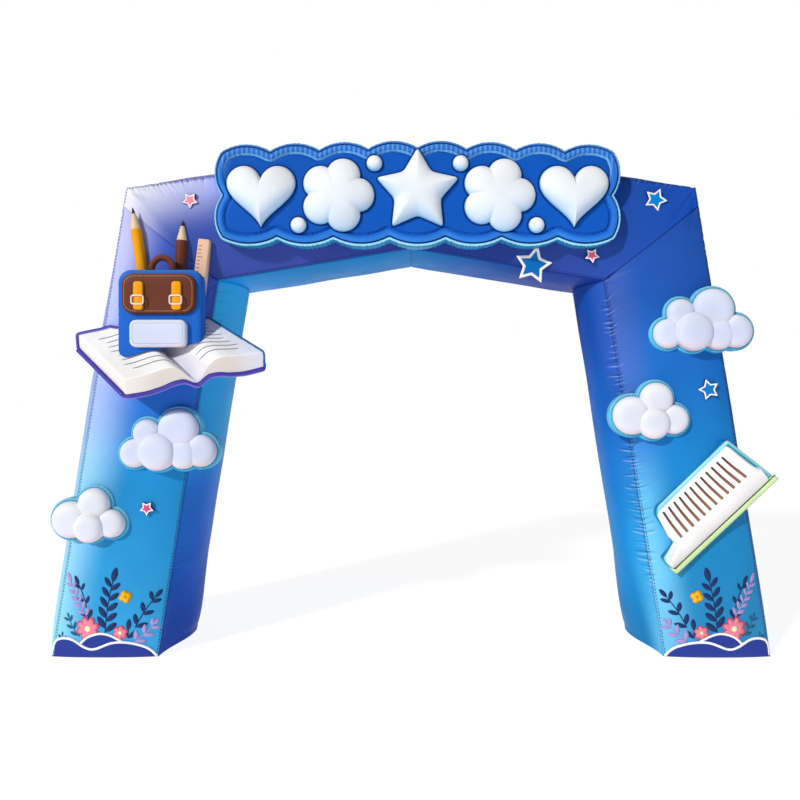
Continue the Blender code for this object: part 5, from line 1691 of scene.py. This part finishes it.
def printed(outline, level, pitch=0.03):
    """Points and faces of a thin patch of print that follows the skin."""
    places, faces = filled(outline, pitch)
    surface = np.array([leg_front(x, z) for x, z in places])
    x, z = places.T
    front = np.stack([x, surface - PRINT_THICK * level, z], axis=1)
    back = np.stack([x, surface - PRINT_OFF, z], axis=1)
    n, j = len(places), np.arange(len(outline))
    k = np.roll(j, -1)
    rim = np.concatenate([np.stack([j + n, k + n, k], axis=1), np.stack([j + n, k, j], axis=1)])
    return np.vstack([front, back]), np.concatenate([faces, faces[:, ::-1] + n, rim])


def wave_line(table):
    """A smooth line through (x, z) points that may overshoot a little, as a drawn wave does."""
    x, z = np.array(table, float).T
    at = np.linspace(x[0], x[-1], 70)
    return np.stack([at, cubic(x, z, np.gradient(z, x), at)], axis=1)


def front_edges(z, margin=0.018):
    """x of the outer and inner edge of a left leg's front at that height, a little inside its seams."""
    share = z / KNEE_OUTER[1]
    outer, inner = mix(BASE_OUTER[0], KNEE_OUTER[0], share), mix(BASE_INNER[0], KNEE_INNER[0], share)
    return -outer + margin, -inner - margin


def sprig_outlines(sprig):
    """The outlines of a stem, its pairs of leaves and the leaf at its tip."""
    foot, way = np.array(sprig.foot), np.array(sprig.tip) - np.array(sprig.foot)
    side = np.array((-way[1], way[0])) / np.linalg.norm(way)

    def stem(share):
        return foot + share * way + sprig.bend * np.sin(math.pi * share) * side

    line = stem(np.linspace(0.0, 0.80 if sprig.leaves > 1 else 0.45, 14)[:, None])
    outlines = [line_outline(line, 0.011)]
    heading = math.atan2(way[1], way[0])
    for i in range(sprig.leaves):
        share = 0.02 + 0.64 * i / max(1, sprig.leaves - 1)
        length = sprig.length * (1.08 - 0.3 * share)
        for turn in (-1, 1):
            start = stem(share) + 0.004 * turn * side + 0.05 * (turn > 0) * way
            outlines.append(leaf_outline(start, heading + turn * LEAF_TURN, length))
    end = line[-1] - 0.01 * way
    last = foot + 1.02 * way - end
    return outlines + [leaf_outline(end, math.atan2(last[1], last[0]), np.linalg.norm(last))]


def blossom_outlines(bloom):
    """The outlines of a blossom's edge, petals and middle."""
    place = np.array((bloom.x, bloom.z))
    petals = [flower_outline(share * bloom.radius, bloom.petals, 72, dip, 0.3) for share, dip in PETAL_LAYERS]
    return [place + outline for outline in petals + [circle_outline(0.24 * bloom.radius, 18)]]


def foot_shapes():
    """(paint, level, outline) of each printed shape of the left foot."""
    shapes = [(sprig.paint, SPRIG_LEVELS[sprig.paint], outline)
              for sprig in SPRIGS for outline in sprig_outlines(sprig)]
    for bloom in BLOSSOMS:
        shapes += zip(bloom.paints, BLOSSOM_LEVELS, blossom_outlines(bloom))
    middle = wave_line(WAVE_MIDDLE)
    foot_line = np.array([(WAVE_MIDDLE[0][0], WAVE_FOOT), (WAVE_MIDDLE[-1][0], WAVE_FOOT)])
    shapes.append(("print_navy_wave", 2.6, np.concatenate([foot_line, middle[::-1]])))
    shapes.append(("print_white", 3.6, line_outline(middle, 0.024)))
    outer, inner = front_edges(0.012)
    front = np.concatenate([[(outer + 0.004, 0.02), (outer + 0.008, 0.08)], wave_line(WAVE_FRONT),
                            [(inner - 0.005, 0.006)]])
    base = np.stack([np.linspace(outer, inner, 30), np.full(30, 0.004)], axis=1)
    shapes.append(("print_navy_wave", 4.2, np.concatenate([base, front[::-1]])))
    shapes.append(("print_white", 5.2, line_outline(resampled(front, 0.02, closed=False), 0.026)))
    return shapes


def build_prints(paints):
    """The prints of both feet, one piece for each colour. The right foot's mirror the left foot's."""
    shapes = foot_shapes()
    for word, side in SIDES:
        groups = {}
        for paint, level, outline in shapes:
            outline = outline * np.array((-side, 1.0))
            groups.setdefault(paint, []).append(printed(outline if side < 0 else outline[::-1], level))
        for paint, parts in groups.items():
            trim(paint + "_" + word, "arch_fabric", parts, paints[paint])


# ---- Stage --------------------
FLOOR_HALF = 60.0
FILL_COLOUR, FILL_STRENGTH = (0.93, 0.96, 1.0, 1.0), 0.18
KEY_ENERGY, KEY_ANGLE, KEY_COLOUR = 2.2, math.radians(4.0), (1.0, 0.985, 0.96)
KEY_WAY = (0.83, 1.0, -0.62)


def build_stage():
    """A plain pale floor, bright enough to run into the white behind it."""
    paint = Paint("floor_white", roughness=0.9, specular=0.1)
    paint.set(paint.shader, {"Base Color": paint.mix(paint.noise(0.6), "#848484", "#8a8a8a"),
                             "Emission Color": "#ffffff", "Emission Strength": 0.90})
    corners = FLOOR_HALF * np.array([(-1.0, -1.0, 0.0), (1.0, -1.0, 0.0), (1.0, 1.0, 0.0), (-1.0, 1.0, 0.0)])
    make_object("studio_floor", corners, [np.array([[0, 1, 2, 3]])], [paint.material])


def in_scene(name, data):
    """An object for a light's or camera's data, in the scene."""
    obj = bpy.data.objects.new(name, data)
    bpy.context.scene.collection.objects.link(obj)
    return obj


def build_lights():
    """A dim fill from all round, white where the camera sees it, and a sun over the left shoulder."""
    world = bpy.data.worlds.new("studio")
    bpy.context.scene.world = world
    world.use_nodes = True
    tree = world.node_tree
    fill, seen = tree.nodes["Background"], tree.nodes.new("ShaderNodeBackground")
    for node, colour, strength in ((fill, FILL_COLOUR, FILL_STRENGTH), (seen, (1.0, 1.0, 1.0, 1.0), 1.0)):
        node.inputs["Color"].default_value = colour
        node.inputs["Strength"].default_value = strength
    rays = tree.nodes.new("ShaderNodeLightPath")
    choose = tree.nodes.new("ShaderNodeMixShader")
    for start, end in ((rays.outputs["Is Camera Ray"], choose.inputs["Fac"]),
                       (fill.outputs["Background"], choose.inputs[1]),
                       (seen.outputs["Background"], choose.inputs[2]),
                       (choose.outputs["Shader"], tree.nodes["World Output"].inputs["Surface"])):
        tree.links.new(start, end)
    key = bpy.data.lights.new("key", "SUN")
    key.energy, key.angle, key.color = KEY_ENERGY, KEY_ANGLE, KEY_COLOUR
    in_scene("key", key).rotation_euler = Vector(KEY_WAY).to_track_quat("-Z", "Y").to_euler()
    bpy.context.scene.view_settings.view_transform = "Standard"


def build_camera():
    data = bpy.data.cameras.new("camera")
    data.sensor_width = 36.0
    data.lens = CAMERA_LENS
    data.shift_x, data.shift_y = CAMERA_SHIFT
    camera = in_scene("camera", data)
    camera.location = CAMERA_PLACE
    camera.rotation_euler = (math.radians(90.0), 0.0, 0.0)
    bpy.context.scene.camera = camera


# ---- Finishes of the appliques --------------------
def painted_shade_by_facing(*stops):
    """A colour by how far a face looks up: painted light and painted shade, as the painted shade under a
    puff.
    """
    def made(paint):
        normal = paint.add("ShaderNodeNewGeometry").outputs["Normal"]
        up = paint.add("ShaderNodeSeparateXYZ", {"Vector": normal}).outputs["Z"]
        return paint.ramp(paint.spread(up, -1.0, 1.0, smooth=False), stops)
    return made


def laid(value, paint):
    """A colour, or what a function makes of the paint."""
    return value(paint) if callable(value) else value


def by_edge(build, *bands):
    """build, over which each band (from, until, colour) of the edge attribute is laid in turn."""
    def made(paint):
        colour = laid(build, paint)
        for low, high, other in bands:
            colour = paint.mix(paint.spread(paint.attribute("edge"), low, high), colour, laid(other, paint))
        return colour
    return made


def sign_colour(paint):
    """The sign's side, piping, puffed band and field, by the distance from its edge, with painted light on
    the band: stripes on its upper puckers, a highlight on its outer side, and a pale line along its inner
    edge on the sign's upper part.
    """
    height = paint.spread(paint.axis("Z"), *SIGN_HEIGHTS, smooth=False)
    edge = paint.attribute("edge")
    side = paint.ramp(height, ((0.0, "#2f8ec0"), (0.3, "#3f98d2"), (1.0, "#4a8fe0")))
    lip = paint.ramp(height, ((0.0, "#a4e6fa"), (0.35, "#8fd4f6"), (0.8, "#5a9fe8"), (1.0, "#4a8ee0")))
    # painted light: pale stripes across the band's upper part, one for each pucker
    wave = paint.math("SINE", paint.times(paint.axis("X"), math.tau / SIGN_PUCKER))
    painted_pucker_light = paint.times(paint.spread(wave, -0.2, 1.0), paint.spread(height, 0.6, 0.85, 0.0, 0.3))
    # painted highlight: a pale line along the band's inner edge on the sign's upper part
    painted_top_highlight = paint.times(paint.spread(height, 0.5, 0.8, 0.0, 0.75), paint.spread(edge, 0.096, 0.102))
    # the band is lighter at its outer side, as a painted highlight where it turns outwards
    band = paint.ramp(paint.spread(edge, 0.03, 0.113, smooth=False),
                      ((0.0, "#3a8ce6"), (0.4, "#2a78da"), (1.0, "#1460c4")))
    colour = side
    for share, other in (
        (paint.spread(edge, -0.050, -0.040), lip),
        (paint.spread(edge, 0.012, 0.018), "#0b3a8a"),
        (paint.spread(edge, 0.030, 0.036), paint.mix(painted_pucker_light, band, "#a8d4fa")),
        (painted_top_highlight, "#7fc8f4"),
        (paint.spread(edge, 0.114, 0.120), "#0f58bc"),
        (paint.spread(paint.attribute("motif"), 0.014, 0.024, 1.0, 0.0), "#0a357f"),
    ):
        colour = paint.mix(share, colour, other)
    return colour


def page_leaf(outer):
    """A page of the open book: shaded by its spine and tinted towards its outer edge."""
    def made(paint):
        across = paint.attribute("across")
        page = painted_shade_by_facing((0.0, "#d8cfc9"), (0.5, "#e2d8d3"), (0.66, "#fdfcfd"), (1.0, "#ffffff"))
        colour = paint.mix(paint.spread(across, 0.45, 0.95, 0.0, 0.6), page(paint), outer)
        # painted shade in the gutter, by the spine
        return paint.mix(paint.spread(across, 0.0, 0.28, 0.75, 0.0), colour, "#d6d4ec")
    return made


def star_face(*stops):
    """A star: its side, its white border, and its field in a colour that changes with the height."""
    return by_edge("#2a3f8c", (-0.2, 0.0, "#fbf8fd"), (0.97, 1.1, gradient(*stops)))


# every colour below that is set by how far a face looks up is painted light and shade, its stops running from
# faces that look down to faces that look up; under the puffs the pinkish tint is a painted reflection
CLOTHS = {
    "puff_white": painted_shade_by_facing((0.0, "#ead4d8"), (0.25, "#dedaea"), (0.5, "#d4dcf4"), (0.7, "#e2eafc"),
                            (1.0, "#f8faff")),
    "puff_bright": painted_shade_by_facing((0.0, "#f0dcde"), (0.25, "#eae4f0"), (0.5, "#e6eaf8"), (0.7, "#f6f8ff"),
                             (1.0, "#ffffff")),
    "page_flat": painted_shade_by_facing((0.0, "#f4eff0"), (0.4, "#fbf8f8"), (0.55, "#ffffff"), (1.0, "#ffffff")),
    "sign": sign_colour,
    # sign_puff: the cyan band round each motif's edge is painted shade where the puff turns away
    "sign_puff": by_edge(painted_shade_by_facing((0.0, "#a8cef0"), (0.3, "#d0e2f6"), (0.5, "#eef4fc"), (0.75, "#f8fbff"),
                                   (1.0, "#ffffff")), (0.016, 0.0, "#86cdf3")),
    "page_left": page_leaf("#fffdfa"),
    "page_right": page_leaf("#dfe6ff"),
    "cloud_rim": by_edge(painted_shade_by_facing((0.0, "#3aa2d0"), (0.5, "#62c6ee"), (1.0, "#86d2e8")),
                         (0.027, 0.031, "#2c86b0")),
    # notebook_cyan: the darker side wall and the darker band where the bead turns in by the page are painted
    # shade; its pale stops are a painted highlight on the bead
    "notebook_cyan": by_edge(painted_shade_by_facing((0.0, "#4cb4d4"), (0.5, "#74d2e6"), (0.75, "#b4f0f6"),
                                       (1.0, "#d4f8fa")),
                             (0.004, -0.004, "#1f88b4"), (0.034, 0.040, "#3aa4c4")),
    # star_pink: the stop at 0.79 is made lighter, as painted light against the shadow that the sign casts on
    # the star under it
    "star_pink": star_face((0.3, "#dd4f81"), (0.79, "#fa7092"), (0.9, "#fd92a6")),
    "star_blue": star_face((0.53, "#1276c5"), (0.775, "#0d6bbb"), (0.9, "#0787d3")),
    # cover_violet: the lavender on faces that look down is a painted highlight along the lower side of its
    # rolled edge
    "cover_violet": painted_shade_by_facing((0.0, "#9a94e4"), (0.3, "#7268c8"), (0.52, "#463ca0"), (1.0, "#4640a4")),
    "cover_teal": "#1c6aa6",
    "page_side": "#efe5dc",
    "satchel_blue": painted_shade_by_facing((0.0, "#174f9e"), (0.5, "#1f66c9"), (1.0, "#3f8ae6")),
    "satchel_brown": painted_shade_by_facing((0.0, "#4d2a20"), (0.5, "#6b3a2a"), (1.0, "#8a5440")),
    "satchel_yellow": painted_shade_by_facing((0.0, "#d98a0c"), (0.5, "#f4a414"), (1.0, "#fbc043")),
    "ruler_peach": "#f0c4a8",
    "wood": "#efd3ac",
    "lead": "#3a3340",
    "notebook_green": painted_shade_by_facing((0.0, "#a4c874"), (0.4, "#c2dea0"), (0.6, "#d8edbc"), (1.0, "#eef9d8")),
    "olive": "#6a7a1c",
    "thread_teal": "#1f6f98",
    "thread_blue": "#2a6fb0",
    "thread_light": "#f0c9a0",
    "thread_navy": "#27367e",
}
INKS = {
    "stroke_brown": lambda paint: paint.ramp(paint.attribute("along"),
                                             ((0.0, "#443832"), (0.25, "#744e3e"), (1.0, "#a0705a"))),
    "ink_grey": "#8f8f9c",
    "print_navy": "#213a6e",
    "print_navy_wave": "#2a3d96",
    "print_white": "#fbfbff",
    "print_lilac": "#a99ad8",
    "print_teal": "#2a6486",
    "print_rose": "#d4547a",
    "print_pink": "#f0889c",
    "print_cream": "#fbeec0",
    "print_amber": "#e89a10",
    "print_yellow": "#fac023",
}


def applique_paints():
    """The materials of everything on the arch, by name."""
    made = {name: nylon("nylon_" + name, build, wrinkle=0.2) for name, build in CLOTHS.items()}
    for name, build in INKS.items():
        made[name] = nylon(name if name.startswith("print") else "print_" + name, build, wrinkle=0.1)
    return made


SEAM_STITCH = (0.036, 0.021, 0.009)  # pitch, length and width


def build_seam_stitches(arch_points, paint):
    """Thread along the front seams, a finger's width inside them."""
    for name, (points, panels) in arch_points.items():
        normals = outward(points)
        first = int(np.flatnonzero(panels == FRONT_OUTER)[0])
        parts = []
        for column in (first - 3, 3):
            path = points[4:-4, column] + 0.0008 * normals[4:-4, column]
            parts.append(sewn(path, normals[4:-4, column], *SEAM_STITCH))
        trim(name + "_stitches", "arch_fabric", parts, paint)


build_camera()
build_lights()
build_stage()
arch, arch_points = build_arch()
ARCH_SKIN = surface_of(arch)
paints = applique_paints()
build_seam_stitches(arch_points, paints["thread_navy"])
build_sign(paints)
for cloud in CLOUDS:
    build_cloud(cloud, paints)
for star in STARS:
    build_star(star, paints[star.colour])
build_book(paints)
PAGE_SKIN = surface_of([bpy.data.objects["book_page_" + word + "_padded"] for word, _ in SIDES])
build_page_lines(paints["ink_grey"])
build_satchel(paints)
for pencil in PENCILS:
    build_pencil(pencil, [paints[pencil.slot], paints["wood"], paints["lead"]])
build_ruler(paints["ruler_peach"], paints["satchel_brown"])
build_notebook(paints)
build_prints(paints)
